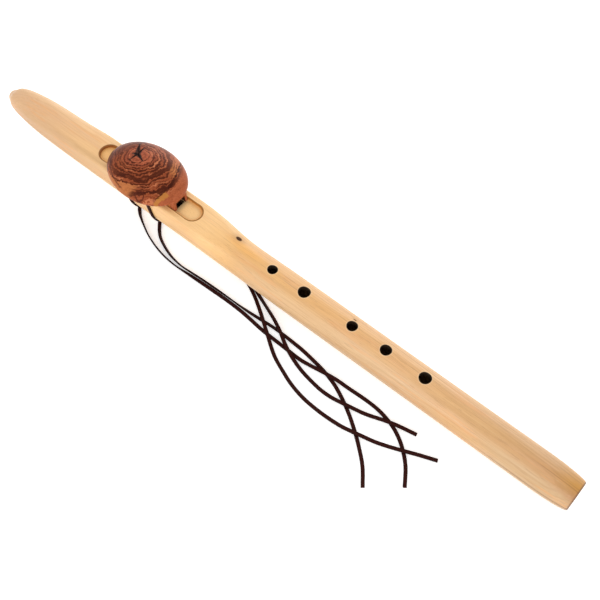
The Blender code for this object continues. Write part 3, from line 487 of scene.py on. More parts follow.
def burl_wood(name):
    """Polished burl: dark wavy rings round a star-shaped crack, over orange-brown heartwood."""
    wood = Finish(name)
    place = wood.flute_place()
    along, across, up = wood.split(wood.shifted(place, (-BLOCK_CENTRE, 0, 0)))
    roll_x, roll_y, _ = wood.split(wood.noise(place, 0.055, out="Color"))
    wave = wood.noise(place, 0.20, 3.0, 0.6)
    jag = wood.noise(place, 0.55, 3.0, 0.6)
    patchy = wood.noise(place, 0.13, shift=(0, 40, 0))
    grain = wood.noise(place, 0.8, 5.0, 0.65)

    # growth rings, waved and jagged, round a middle near the crack
    growth = wood.length(
        along + 12.5 + (roll_x - 0.5) * 9.0,
        (across - 3.5) / 0.85 + (roll_y - 0.5) * 9.0,
        (up - 37.5) * 0.6,
    )
    growth = growth + (wave - 0.5) * 7.0 + (jag - 0.5) * 2.6
    stops = [(ring / BURL_REACH, (shade, shade, shade)) for ring, shade in BURL_RINGS]
    ring_shade, _, _ = wood.split(wood.ramp(growth / BURL_REACH, stops))
    fine = wood.noise(wood.join(growth * 0.62, along * 0.03, across * 0.03), None, 3.0, 0.6)
    lines = fine.step(0.53, 0.62)

    # how strong the figure is: faint at the mouth side, along the near rim and at the front
    figured = 0.5 + 0.5 * (along + across * 0.35).step(-32, -16)
    past_patch = across + 2.2
    veer = wood.positive(past_patch)
    lean = wood.math("MINIMUM", past_patch, 0.0)
    line_place = 27.9 + lean * 0.13 - veer * 0.29 - veer * veer * 0.006
    off_dark_line = along - line_place
    quiet_front = off_dark_line.step(1, 4.5)
    amber = off_dark_line.step(-8.5, -5) * off_dark_line.fade(-1, 0.5)
    amber = amber * across.step(3, 12)
    near_rim = growth.step(31.5, 33) * (along - across * 0.2).fade(8, 14)
    strength = figured * (1 - quiet_front * 0.75) * (1 - near_rim * 0.8) * (1 - amber * 0.4)
    strength = strength * (1 - across.step(15, 23) * 0.5)

    # heartwood, in patches of different browns, with a painted sheen along the far rim; the plum
    # tone at the mouth-side edge is partly the wood's own and partly a painted grazing reflection
    wood.color = wood.blend(grain.step(0.35, 0.7), (0.215, 0.044, 0.018), (0.38, 0.098, 0.034))
    wood.tint(near_rim * (-across).step(2, 14) * 0.85, (0.52, 0.18, 0.060))
    wood.tint(amber * 0.75, (0.58, 0.20, 0.060))
    wood.tint(growth.fade(9, 17) * 0.6, (0.46, 0.115, 0.058))
    # plum tone: partly the wood's own, partly a painted grazing reflection
    plum = (along - across * 0.2).fade(-31, -21)
    wood.tint(plum * 0.85, (0.185, 0.052, 0.030))
    russet = quiet_front * (0.5 + 0.5 * grain.step(0.3, 0.6))
    wood.tint(russet * 0.8, (0.43, 0.115, 0.046))
    # painted sheen along the far rim
    far_rim_sheen = across.step(13, 22) * (1 - quiet_front)
    wood.tint(far_rim_sheen * 0.6, (0.50, 0.17, 0.095))

    # the dark figure over it, with fine lines, darker borders and pale lines between
    dark = (ring_shade - (patchy - 0.45) * 1.3).step(0.30, 0.68) * strength
    wood.tint(dark * (0.82 + 0.17 * lines), (0.038, 0.0060, 0.0035))
    wood.tint(lines * strength * 0.42, (0.090, 0.020, 0.011))
    wood.tint(plum * lines * 0.5, (0.055, 0.014, 0.010))
    border = 1 - abs(dark * 2.0 - 1.0)
    wood.tint(border.step(0.2, 0.9) * strength * 0.5, (0.020, 0.0045, 0.0035))
    pale_line = (1 - fine).step(0.54, 0.66) * (1 - dark) * strength
    wood.tint(pale_line * 0.75, (0.60, 0.20, 0.090))

    # a thin dark line low along the near rim
    to_rim = wood.length(along / DOME_HALF_LENGTH, across / DOME_HALF_WIDTH)
    off_rim_line = to_rim - 0.955 - along * 0.002 + (jag - 0.5) * 0.10
    rim_line = abs(off_rim_line).fade(0.006, 0.024)
    rim_line = rim_line * (-across).step(9, 14) * along.fade(-8, -2)
    wood.tint(rim_line * 0.8, (0.075, 0.018, 0.011))

    # the dark line across the front, and an ochre patch behind it with flecks by its rear edge
    dark_line = abs(off_dark_line + (jag - 0.5) * 5.0).fade(0.3, 1.1)
    wood.tint(dark_line * across.step(-20, -16) * 0.8, (0.035, 0.007, 0.0045))
    patch_side = along - 32.4 - across * 0.28 + (jag - 0.5) * 3.4
    patch_side = patch_side / (1.75 + (across + 15.0) * 0.08)
    patch_end = (across + 14.5 + (wave - 0.5) * 5.0) / 6.6
    patch = wood.math("MAXIMUM", abs(patch_side), abs(patch_end))
    wood.tint(patch.fade(0.85, 1.1) * 0.9, (0.48, 0.185, 0.042))
    fleck = grain.step(0.52, 0.62) * patch.fade(1, 1.9)
    wood.tint(fleck * (-patch_side).step(0.2, 0.7) * 0.8, (0.045, 0.011, 0.006))

    # a small swirl low on the near side
    swirl = wood.length((along - 12.8) / 1.3, across + 23.6) + (jag - 0.5) * 1.4
    curl = wood.math("SINE", swirl * 2.4 + 0.8)
    in_swirl = swirl.fade(3.4, 4.8)
    wood.tint(in_swirl * curl.step(0.1, 0.7) * 0.85, (0.085, 0.017, 0.009))

    # the crack's walls painted nearly black, and a darker lip round it
    off_x, off_y = along - STAR_MIDDLE[0], across - STAR_MIDDLE[1]
    on_dome = up.step(30, 31)
    for x, y, reach in STAR_ARMS:
        span = math.hypot(x - STAR_MIDDLE[0], y - STAR_MIDDLE[1])
        way_x, way_y = (x - STAR_MIDDLE[0]) / span, (y - STAR_MIDDLE[1]) / span
        ahead = off_x * way_x + off_y * way_y
        aside = abs(off_x * way_y - off_y * way_x)
        beyond = wood.positive(ahead - span) + wood.positive(-ahead)
        half = reach * (1 - 0.75 * ahead.step(0, span))
        off = wood.length(aside, beyond) + (jag - 0.5) * 1.2 - half
        dark_lip = off.fade(0, 1.3) * on_dome
        wood.tint(dark_lip * 0.5, (0.10, 0.035, 0.022))
        core = off.fade(-0.15, 0.25) * on_dome
        wood.tint(core * 0.95, (0.012, 0.009, 0.010))

    # inside the chimney: painted shade under the dome
    chimney_start = SOUND_HOLE[0] - BLOCK_CENTRE
    chimney_wall = WINDWAY_WIDTH / 2
    chimney_shade = along.step(chimney_start - 0.3, chimney_start)
    chimney_shade = chimney_shade * abs(across).fade(chimney_wall + 0.05, chimney_wall + 0.2)
    chimney_shade = chimney_shade * up.fade(CHIMNEY_TOP + 0.1, CHIMNEY_TOP + 0.6)
    wood.tint(chimney_shade * 0.9, (0.030, 0.010, 0.006))

    relief = wood.bump(grain * 0.5 + dark * 0.5, 0.12, 0.12 * MM)
    wood.set(Specular_IOR_Level=0.17, Specular_Tint=(1.0, 0.40, 0.26))
    return wood.set(Base_Color=wood.color, Roughness=0.24 + 0.10 * grain, Normal=relief)


def lace_leather(name):
    """Dark brown leather lace, black at its cut edges, with a fine creased grain."""
    leather = Finish(name)
    place = leather.flute_place()
    side, _, _ = leather.split(leather.node("UVMap", {"uv_map": "lace"}))
    worn = leather.noise(place, 0.25, 3.0)
    grain = leather.noise(place, 2.4, 4.0, 0.6)
    leather.color = leather.blend(worn, (0.036, 0.0070, 0.0055), (0.082, 0.0175, 0.0140))
    leather.tint(grain.step(0.5, 0.8) * 0.4, (0.105, 0.032, 0.025))
    leather.tint(side.step(0.27, 0.46) * 0.9, (0.005, 0.0015, 0.0015))
    relief = leather.bump(grain, 0.4, 0.1 * MM)
    leather.set(Specular_IOR_Level=0.14, Specular_Tint=(1.0, 0.45, 0.35))
    return leather.set(Base_Color=leather.color, Roughness=0.5 + 0.15 * grain, Normal=relief)


# Laces: flat ribbons swept along their routes

def ribbon_section(width, thickness, ease=0.38, steps=3):
    """Outline of a flat lace with eased edges, as (across, out)."""
    corners = []
    half_width, half_thickness = width / 2 - ease, thickness / 2 - ease
    for x, z, first in (
        (half_width, half_thickness, 0), (-half_width, half_thickness, 90),
        (-half_width, -half_thickness, 180), (half_width, -half_thickness, 270),
    ):
        for k in range(steps + 1):
            angle = math.radians(first + 90 * k / steps)
            corners.append((x + ease * math.cos(angle), z + ease * math.sin(angle)))
    return corners


def lengths_along(points):
    """How far along the line each of its points lies."""
    lengths = [0.0]
    for a, b in zip(points, points[1:]):
        lengths.append(lengths[-1] + (b - a).xyz.length)
    return lengths


def even_path(points, step):
    """The same line with evenly spaced points."""
    lengths = lengths_along(points)
    count = round(lengths[-1] / step)
    result = []
    index = 0
    for k in range(count + 1):
        target = lengths[-1] * k / count
        while index < len(points) - 2 and lengths[index + 1] < target:
            index += 1
        share = (target - lengths[index]) / (lengths[index + 1] - lengths[index])
        result.append(points[index].lerp(points[index + 1], share))
    return result


def sweep(name, stations, section, closed=False, floor=None):
    """A ribbon through stations of (middle, across, out), in the room's metres."""
    bm = bmesh.new()
    ribbon = bm.loops.layers.uv.new("lace")
    half = max(abs(u) for u, _ in section)
    loops = []
    lengths = lengths_along([middle for middle, _, _ in stations])
    for middle, across, out in stations:
        ring = []
        for u, v in section:
            point = middle + across * u + out * v
            if floor is not None:
                point.z = max(point.z, floor)
            ring.append(bm.verts.new(point))
        loops.append(ring)
    count = len(section)
    pairs = list(zip(range(len(loops)), range(1, len(loops))))
    if closed:
        pairs.append((len(loops) - 1, 0))
        lengths.append(lengths[-1] + (stations[0][0] - stations[-1][0]).length)
    for i, k in pairs:
        for j in range(count):
            n = (j + 1) % count
            face = bm.faces.new((loops[i][j], loops[i][n], loops[k][n], loops[k][j]))
            ends = (lengths[i], lengths[i], lengths[i + 1], lengths[i + 1])
            sides = (section[j][0], section[n][0], section[n][0], section[j][0])
            for loop, side, length in zip(face.loops, sides, ends):
                loop[ribbon].uv = (abs(side) / half / 2, length)
    if not closed:
        for ring, length in ((loops[0], lengths[0]), (loops[-1][::-1], lengths[-1])):
            face = bm.faces.new(ring)
            for loop in face.loops:
                loop[ribbon].uv = (0.0, length)
    bmesh.ops.recalc_face_normals(bm, faces=bm.faces)
    mesh = bpy.data.meshes.new(name)
    bm.to_mesh(mesh)
    bm.free()
    obj = bpy.data.objects.new(name, mesh)
    bpy.context.collection.objects.link(obj)
    mesh.shade_smooth()
    mesh.set_sharp_from_angle(angle=math.radians(50))
    return obj


# Routes of the loose lace ends: distance from the mouth end, distance to the far side of the
# axis, height of the lace's underside and roll in degrees (0 flat, 90 on edge); the last two are
# left out where they are 0
REAR_NEAR_ROUTE = [
    (158.5, -3.2, 0.5), (158.9, -6.2, 0.1), (160.7, -9, 0, 10), (163.6, -11.9, 0, 32),
    (167.6, -15.3, 0, 56), (175.4, -20.1, 0, 73), (186, -25.6, 0, 78), (199, -30.3, 0, 78),
    (212, -33.1, 0, 75), (225, -34, 0, 65), (238, -33.2, 0, 40), (252, -32.4, 0, 12), (266, -31.9),
    (280, -31.7), (293, -32), (306, -33.1), (320, -34.7), (333, -35.3), (347, -35.8),
    (361, -36.3, 0.1), (371, -35.7, 1.1), (379, -34.8, 1.9), (388, -33.5, 2), (398, -32.5, 1.8),
    (407, -31.9, 0.6), (418, -31.2), (429, -31.1), (440, -32), (453, -35.3), (464, -40.6),
    (473, -47.2), (482.8, -57.1), (492.5, -71.6),
]
FRONT_NEAR_ROUTE = [
    (182.7, -3.3, 0.4), (182.9, -6.2, 0.1), (184.6, -9.4, 0, 8), (187.2, -12.6, 0, 24),
    (190.6, -16.4, 0, 38), (196.4, -21.2, 0, 48), (206, -25.9, 0, 50), (216, -29.2, 0, 55),
    (228, -30.9, 0, 65), (240, -30.5, 0, 75), (252, -29.8, 0, 78), (266, -29.4, 0, 78),
    (280, -29.2, 0, 70), (292, -29.1, 0, 55), (303, -28.7, 0, 35), (314, -27.9, 0, 25),
    (323, -27.2, 0, 28), (332, -27, 0, 25), (345, -27.4, 0, 10), (358, -28.2), (371, -30),
    (384, -32.4), (397, -36.4), (410, -42.6), (422.3, -50), (434.5, -58.7), (445.7, -67.9),
    (457, -78.6), (467.4, -92.3),
]
REAR_FAR_ROUTE = [
    (162.4, 5.75, 0.5), (165.3, 9.2, 0.1), (171, 12.6), (179, 14.3), (187, 15.1), (194, 15.3, 0.1),
    (201, 14.7, 0.8), (206, 13.6, 1.7), (212, 11.5, 2), (218, 9, 2), (226, 5.8, 2),
    (232, 3.9, 1.5), (241, 2.3, 0.1), (251, 1.1), (262, -1), (273, -4), (281, -6.8, 0, 5),
    (288.4, -10.2, 0, 15), (297, -15.2, 0.8, 20), (305.5, -21, 2.4, 10), (314, -27, 3),
    (321, -31.9, 2.4), (328, -36.8, 2), (336, -42.4, 0.8, 5), (345, -48, 0, 15),
    (357, -53.4, 0, 20), (371, -58.7, 0, 15), (386.4, -62, 0, 5), (404, -63.1, 0.1),
    (421, -62.6, 0.8), (432, -61.2, 1.9), (441, -59.1, 1.9), (452, -56.1, 0.9), (463, -52.7, 1.7),
    (474, -48.4, 2), (485, -43.4, 1.4), (499.6, -37.1, 0.1),
]
FRONT_FAR_ROUTE = [
    (186.2, 5.7, 0.5), (189.4, 8.6, 0.1), (195.4, 10.3), (201.5, 10.5), (208, 10), (220, 8.8),
    (234, 7.5), (248, 5.8), (262, 3.1), (275, -0.7), (286, -5.2, 0, 5), (296, -10.2, 0, 20),
    (308, -15.2, 0.2, 35), (321, -21, 2, 25), (332, -26.8, 3, 15), (339, -31, 2.5, 5),
    (346, -35, 2), (354, -38.8, 1.9), (362, -41.6, 0.8, 5), (371, -44, 0, 10), (381, -45.9, 0, 10),
    (391, -47.2, 0.1, 5), (401, -47.4, 0.8), (409, -46.7, 1.9), (419, -44.8, 1.9), (430, -42, 0.7),
    (438, -39.6, 0.9), (446, -37.2, 1.9), (455, -34.5, 2), (463, -32.4, 1.4), (474.1, -29.7, 0.2),
]


def resting_height(angle):
    """Height of a rolled lace's middle above the surface that it rests on."""
    tipped = (LACE_WIDTH - LACE_THICKNESS) / 2 * math.sin(angle)
    return tipped + LACE_THICKNESS / 2 + LACE_GROUND_GAP


def smooth_route(route, step):
    """Evenly spaced points (x, y, z, roll), in the room's millimetres, on a smooth curve."""
    stops = []
    for stop in route:
        x, y, lift, roll = (*stop, 0, 0)[:4]
        angle = math.radians(roll)
        ground = LIE @ Vector((x, y, -TUBE_RADIUS))
        stops.append(Vector((ground.x, y, lift + resting_height(angle), angle)))
    padded = [2 * stops[0] - stops[1], *stops, 2 * stops[-1] - stops[-2]]
    fine = []
    for a, b, c, d in zip(padded, padded[1:], padded[2:], padded[3:]):
        bend = 2 * a - 5 * b + 4 * c - d
        twist = 3 * b - a - 3 * c + d
        for k in range(ROUTE_PARTS):
            u = k / ROUTE_PARTS
            fine.append(0.5 * (2 * b + (c - a) * u + bend * u**2 + twist * u**3))
    return even_path([*fine, stops[-1]], step)


def make_lace_end(name, route, finish):
    points = smooth_route(route, LACE_END_STEP)
    stations = []
    middles = [Vector((p.x, p.y, max(p.z, resting_height(p.w)))) for p in points]
    for i, point in enumerate(points):
        along = (middles[min(i + 1, len(points) - 1)] - middles[max(i - 1, 0)]).normalized()
        level = along.cross(Vector((0, 0, 1))).normalized()
        out = level.cross(along)
        turn = Matrix.Rotation(-point.w, 3, along)
        stations.append((middles[i] * MM, turn @ level * MM, turn @ out * MM))
    section = ribbon_section(LACE_WIDTH, LACE_THICKNESS)
    lace = sweep(name, stations, section, floor=0.02 * MM)
    lace.data.materials.append(finish)
    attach(lace, "block_and_laces")
    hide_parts(name)


LACE_ENDS = (
    ("lace_rear_end_near", REAR_NEAR_ROUTE),
    ("lace_front_end_near", FRONT_NEAR_ROUTE),
    ("lace_rear_end_far", REAR_FAR_ROUTE),
    ("lace_front_end_far", FRONT_FAR_ROUTE),
)
for end_name, end_route in LACE_ENDS:
    make_lace_end(end_name, end_route, lace_leather(end_name + "_leather"))


def turn_of(a, b, c):
    return (b[0] - a[0]) * (c[1] - a[1]) - (b[1] - a[1]) * (c[0] - a[0])


def taut_loop(steps=96):
    """Middle line (y, z) of a lace pulled tight round the nest section and out of its hole."""
    offset = FIT + LACE_THICKNESS / 2
    radius = NEST_TUBE_RADIUS + offset
    shoulder = SHOULDER_RADIUS + offset
    outline = []
    for k in range(steps):
        angle = math.pi * (k + 0.5) / steps
        side = math.copysign(1.0, math.cos(angle))
        y = side * (radius - shoulder) + shoulder * math.cos(angle)
        outline.append((y, PLATFORM_HEIGHT + offset - shoulder + shoulder * math.sin(angle)))
        outline.append((radius * math.cos(angle), -radius * math.sin(angle)))
    along_neck = (FRONT_LACE - REAR_LACE) / 2 / (DOME_HALF_LENGTH * NECK_SHARE)
    lip = DOME_HALF_WIDTH * NECK_SHARE * math.sqrt(1 - along_neck**2) + offset
    outline += [(lip, LACE_HOLE_LEVEL), (-lip, LACE_HOLE_LEVEL)]
    points = sorted(set(outline))
    hull = []
    for pass_points in (points, points[::-1]):
        start = len(hull)
        for point in pass_points:
            while len(hull) - start >= 2 and turn_of(hull[-2], hull[-1], point) <= 0:
                hull.pop()
            hull.append(point)
        hull.pop()
    return hull


def wrap_path(lace_x):
    hull = taut_loop()
    lowest = min(range(len(hull)), key=lambda i: (hull[i][1], abs(hull[i][0])))
    hull = hull[lowest:] + hull[: lowest + 1]
    loop = even_path([Vector((lace_x, y, z)) for y, z in hull], WRAP_STEP)
    total = lengths_along(loop)[-1]
    step = total / (len(loop) - 1)
    path = []
    for i, point in enumerate(loop):
        if abs(point.y) < KNOT_HALF_LENGTH + FIT and point.z < 0:
            continue
        from_knot = min(i * step, total - i * step)
        share = (LACE_LEAN_END - from_knot) / (LACE_LEAN_END - LACE_LEAN_START)
        share = min(max(share, 0.0), 1.0)
        path.append(point + Vector((LACE_LEAN * share**2 * (3 - 2 * share), 0, 0)))
    # a pulled lace rounds its corners a little
    for _ in range(3):
        path = [path[0]] + [
            (a + 2 * b + c) / 4 for a, b, c in zip(path, path[1:], path[2:])
        ] + [path[-1]]
    return path


def make_wrap(name, lace_x, finish):
    path = wrap_path(lace_x)
    stations = []
    for i, point in enumerate(path):
        along = (path[min(i + 1, len(path) - 1)] - path[max(i - 1, 0)]).normalized()
        across = Vector((1, 0, 0))
        out = across.cross(along).normalized()
        stations.append((room(point), LIE.to_3x3() @ across * MM, LIE.to_3x3() @ out * MM))
    wrap = sweep(name, stations, ribbon_section(LACE_WIDTH, LACE_THICKNESS))
    wrap.data.materials.append(finish)
    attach(wrap, "block_and_laces")
    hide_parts(name)


def make_knot(name, knot_x, hand, finish):
    """A flattened overhand knot under the tube, pressed flat where it carries the flute."""
    under = LIE @ Vector((knot_x, 0, -NEST_TUBE_RADIUS))
    height = under.z - FIT
    half_width, half_thickness = KNOT_STRAND[0] / 2, KNOT_STRAND[1] / 2
    depth = (height + KNOT_PRESS) / 2 - half_thickness
    middle = Vector((under.x, 0, (height - KNOT_PRESS) / 2))
    trefoil = []
    for k in range(KNOT_STEPS):
        t = 2 * math.pi * k / KNOT_STEPS
        x = math.cos(t) - 2 * math.cos(2 * t)
        trefoil.append((x, math.sin(t) + 2 * math.sin(2 * t), -hand * math.sin(3 * t)))
    spread = (KNOT_HALF_LENGTH - half_width) / max(y for _, y, _ in trefoil)
    centres = [middle + Vector((spread * x, spread * y, depth * z)) for x, y, z in trefoil]
    stations = []
    for k, centre in enumerate(centres):
        along = (centres[(k + 1) % KNOT_STEPS] - centres[k - 1]).normalized()
        side = along.cross(Vector((0, 0, 1))).normalized()
        stations.append((centre * MM, side * MM, side.cross(along) * MM))
    section = []
    for j in range(STRAND_SIDES):
        angle = 2 * math.pi * (j + 0.5) / STRAND_SIDES
        section.append((half_width * math.cos(angle), half_thickness * math.sin(angle)))
    knot = sweep(name, stations, section, closed=True, floor=0.0)
    knot.data.materials.append(finish)
    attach(knot, "block_and_laces")
    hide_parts(name)


for place, lace_x, hand in (("rear", REAR_LACE, 1), ("front", FRONT_LACE, -1)):
    make_wrap(f"lace_{place}_wrap", lace_x, lace_leather(f"lace_{place}_wrap_leather"))
    knot_leather = lace_leather(f"lace_{place}_knot_leather")
    make_knot(f"lace_{place}_knot", lace_x + LACE_LEAN, hand, knot_leather)


# Shaping tools

def deselect_all():
    bpy.ops.object.select_all(action="DESELECT")


def take_up(obj):
    deselect_all()
    obj.select_set(True)
    bpy.context.view_layer.objects.active = obj


def edit(obj):
    take_up(obj)
    bpy.ops.object.mode_set(mode="EDIT")


def leave_edit():
    bpy.ops.object.mode_set(mode="OBJECT")


def pick_all():
    bpy.ops.mesh.select_all(action="SELECT")


def pick(obj, kind, test):
    """Select, in edit mode, the vertices, edges or faces whose places pass the test."""
    bpy.ops.mesh.select_mode(type=kind)
    bpy.ops.mesh.select_all(action="DESELECT")
    bm = bmesh.from_edit_mesh(obj.data)
    for part in {"VERT": bm.verts, "EDGE": bm.edges, "FACE": bm.faces}[kind]:
        if test(part):
            part.select_set(True)
    bm.select_flush_mode()
    bmesh.update_edit_mesh(obj.data)


def place_of(part):
    if isinstance(part, bmesh.types.BMFace):
        return part.calc_center_median()
    return sum((v.co for v in part.verts), Vector()) / len(part.verts)


def shift(obj, offset):
    """Move all of a piece's mesh."""
    edit(obj)
    pick_all()
    move(offset)
    leave_edit()


def extrude(offset):
    bpy.ops.mesh.extrude_region_move(TRANSFORM_OT_translate={"value": offset})


def resize(factors, centre):
    bpy.ops.transform.resize(value=factors, center_override=centre, orient_type="GLOBAL")


def move(offset):
    bpy.ops.transform.translate(value=offset, orient_type="GLOBAL")


def work(target, tool, operation="DIFFERENCE"):
    """Cut a piece with a tool, or join the two."""
    take_up(target)
    modifier = target.modifiers.new(tool.name, "BOOLEAN")
    modifier.operation = operation
    modifier.solver = "EXACT"
    modifier.object = tool
    bpy.ops.object.modifier_apply(modifier=modifier.name)


def discard(obj):
    mesh = obj.data
    bpy.data.objects.remove(obj, do_unlink=True)
    bpy.data.meshes.remove(mesh)


def copy_of(obj, name):
    twin = obj.copy()
    twin.data = obj.data.copy()
    twin.name = name
    twin.data.name = name
    bpy.context.collection.objects.link(twin)
    return twin


def work_and_discard(target, tool, operation="DIFFERENCE"):
    work(target, tool, operation)
    discard(tool)


def apply_place():
    bpy.ops.object.transform_apply(location=True, rotation=True, scale=True)


def named(name):
    """Name the piece just added, once its place and size are part of its mesh."""
    apply_place()
    obj = bpy.context.active_object
    obj.name = name
    obj.data.name = name
    return obj


def box(name, x_range, y_range, z_range):
    deselect_all()
    size = [high - low for low, high in (x_range, y_range, z_range)]
    middle = [mid(span) for span in (x_range, y_range, z_range)]
    bpy.ops.mesh.primitive_cube_add(size=1.0, location=middle, scale=size)
    return named(name)


def lay_down(obj):
    """From the flute's frame in millimetres to its place in the room."""
    take_up(obj)
    obj.matrix_world = TO_ROOM
    apply_place()


def face_out():
    bpy.ops.mesh.normals_make_consistent(inside=False)


def smooth(obj, degrees):
    take_up(obj)
    bpy.ops.object.shade_smooth_by_angle(angle=math.radians(degrees))


# Tube
# Sections of the tube: place along it, half width, top, bottom and shoulder radius
SECTIONS = [
    (0, 4.2, 4.2, 4.2, 4.2), (0.9, 5, 5, 5, 4.8), (3, 6, 6.3, 6, 5.2), (7, 8.8, 9.4, 8.8, 6.6),
    (11.5, 10.3, 11, 10.2, 7.3), (17, 11.5, 12.3, 11.4, 7.8), (24, 12.5, 13.3, 12.3, 8.1),
    (32, 13.4, 14.2, 13.2, 8.4), (42, 14.2, 15, 13.9, 8.6), (54, 14.7, 15.6, 14.4, 8.6),
    (68, 15, 15.9, 14.7, 8.2), (82, 15.1, 16.1, 14.9, 7.2), (94, 15.1, 16.3, 15, 5.4),
    (104, 15.1, 16.45, 15.05, 3.6), (112, 15.1, 16.5, 15.1, 2.8), (218, 15.1, 16.5, 15.1, 2.8),
    (228, 15.2, 16.4, 15.15, 3.8), (238, 15.25, 16.2, 15.2, 5.6), (248, 15.3, 15.95, 15.25, 8.4),
    (258, 15.35, 15.7, 15.3, 12), (268, 15.4, 15.5, 15.35, 14.4),
]
SECTIONS += [(x, radius, radius, radius, radius) for x, radius in (
    (280, 15.5), (320, 15.9), (565, 15.9), (576.9, 15.735), (584.95, 15.24), (591.95, 14.646),
    (596.85, 13.92), (599.125, 13.26), (600, 12.6),
)]


def eased(rows, stops):
    """Values at the stops on a smooth curve through rows of (place, values), never past them."""
    slopes = [
        [(q - p) / (b[0] - a[0]) for p, q in zip(a[1:], b[1:])] for a, b in zip(rows, rows[1:])
    ]
    tangents = [slopes[0]]
    for before, after in zip(slopes, slopes[1:]):
        tangents.append([2 * p * q / (p + q) if p * q > 0 else 0.0 for p, q in zip(before, after)])
    tangents.append(slopes[-1])
    result = []
    for stop in stops:
        i = max(k for k in range(len(rows) - 1) if rows[k][0] <= stop or k == 0)
        span = rows[i + 1][0] - rows[i][0]
        u = (stop - rows[i][0]) / span
        values = []
        for p, q, m, n in zip(rows[i][1:], rows[i + 1][1:], tangents[i], tangents[i + 1]):
            values.append(
                (2 * u**3 - 3 * u**2 + 1) * p + (u**3 - 2 * u**2 + u) * span * m
                + (3 * u**2 - 2 * u**3) * q + (u**3 - u**2) * span * n
            )
        result.append((stop, *values))
    return result


# Places along the tube where its section is drawn: close where it changes fast
TUBE_STOPS = [
    0, 0.15, 0.45, 0.9, 1.6, 2.3, 3, 4, 5, 6, 7, 8.5, 10, 11.5, 13.3, 15.1, 17, 20, 24, 28, 32, 37,
    42, 48, 54, 61, 68, 75, 82, 88, 94, 99, 104, 108, 112,
    *(112.0 + 10.6 * k for k in range(1, 11)),
    223, 228, 233, 238, 243, 248, 253, 258, 263, 268, 274, 280, 290, 300, 310, 320,
    *(320.0 + 12.25 * k for k in range(1, 21)),
    569, 573, 576.9, 580, 583, 585.5, 588, 590, 592, 593.5, 595, 596.2, 597.2, 598, 598.7, 599.2,
    599.6, 599.85, 600,
]
RING = 96


def make_tube_blank():
    deselect_all()
    bpy.ops.mesh.primitive_circle_add(
        vertices=RING, radius=MOUTH_TIP_RADIUS, fill_type="NGON",
        location=(0, 0, 0), rotation=(0, math.pi / 2, 0),
    )
    blank = named("tube_blank")
    edit(blank)
    pick_all()
    bpy.ops.transform.rotate(
        value=math.pi / RING, orient_axis="X", orient_type="GLOBAL", center_override=(0, 0, 0)
    )
    rows = eased(SECTIONS, TUBE_STOPS)
    near = 0.02
    for before, after in zip(rows, rows[1:]):
        x, half_width, top, bottom, shoulder = after
        old_x, old_width, old_top, old_bottom, old_shoulder = before
        pick(blank, "FACE", lambda f: len(f.verts) == RING and abs(place_of(f).x - old_x) < near)
        extrude((x - old_x, 0, 0))
        pick(blank, "VERT", lambda v: abs(v.co.x - x) < near and v.co.z < 0)
        resize((1, half_width / old_width, bottom / old_bottom), (x, 0, 0))
        grow = shoulder / old_shoulder
        for side in (-1, 1):
            pick(blank, "VERT", lambda v: (
                abs(v.co.x - x) < near and v.co.z > 0 and v.co.y * side > 0
            ))
            resize((1, grow, grow), (x, side * (old_width - old_shoulder), old_top - old_shoulder))
            outward = half_width - shoulder - old_width + old_shoulder
            move((0, side * outward, top - shoulder - old_top + old_shoulder))
    leave_edit()
    return blank


def turned(name, rows, steps, axis="X"):
    """A turned tool through rows of (place along its axis, radius), starting from a disc."""
    deselect_all()
    turn = {"X": (0, math.pi / 2, 0), "Y": (math.pi / 2, 0, 0), "Z": (0, 0, 0)}[axis]
    way = Vector([letter == axis for letter in "XYZ"])
    bpy.ops.mesh.primitive_circle_add(
        vertices=steps, radius=rows[0][1], fill_type="NGON",
        location=way * rows[0][0], rotation=turn,
    )
    tool = named(name)
    edit(tool)
    pick_all()
    for (start, old), (stop, new) in zip(rows, rows[1:]):
        extrude(way * (stop - start))
        grow = new / old
        resize([1 if w else grow for w in way], way * stop)
    pick_all()
    face_out()
    leave_edit()
    return tool


def make_bore_tools():
    radius = MOUTH_BORE_RADIUS
    mouth = turned(
        "mouth_bore",
        [
            (-2.0, radius + 0.45), (0.05, radius + 0.3), (0.35, radius),
            (AIR_CHAMBER_START + BORE_RADIUS / 2, radius),
        ],
        64,
    )
    rows = [(AIR_CHAMBER_END, BORE_RADIUS), (AIR_CHAMBER_START + BORE_RADIUS, BORE_RADIUS)]
    for k in range(1, 16):
        angle = math.pi / 2 * (1 - k / 16)
        x = AIR_CHAMBER_START + BORE_RADIUS * (1 - math.cos(angle))
        rows.append((x, BORE_RADIUS * math.sin(angle)))
    air_chamber = turned("air_chamber", rows, 96)
    sound_chamber = turned(
        "sound_chamber",
        [
            (SOUND_CHAMBER_START, BORE_RADIUS), (TUBE_LENGTH - 0.6, BORE_RADIUS),
            (TUBE_LENGTH - 0.25, BORE_RADIUS + 0.15), (TUBE_LENGTH + 0.05, BORE_RADIUS + 0.5),
            (TUBE_LENGTH + 2.0, BORE_RADIUS + 0.6),
        ],
        96,
    )
    return [mouth, air_chamber, sound_chamber]


def make_slot(name, x_range, half_width, z_range, steps=64):
    """A slot with round ends: a disc pulled out to its length."""
    deselect_all()
    rear = x_range[0] + half_width
    low, high = z_range
    bpy.ops.mesh.primitive_cylinder_add(
        vertices=steps, radius=half_width, depth=high - low, location=(rear, 0, (low + high) / 2),
        rotation=(0, 0, math.pi / steps),
    )
    slot_tool = named(name)
    edit(slot_tool)
    pick(slot_tool, "VERT", lambda v: v.co.x > rear)
    move((x_range[1] - half_width - rear, 0, 0))
    leave_edit()
    return slot_tool


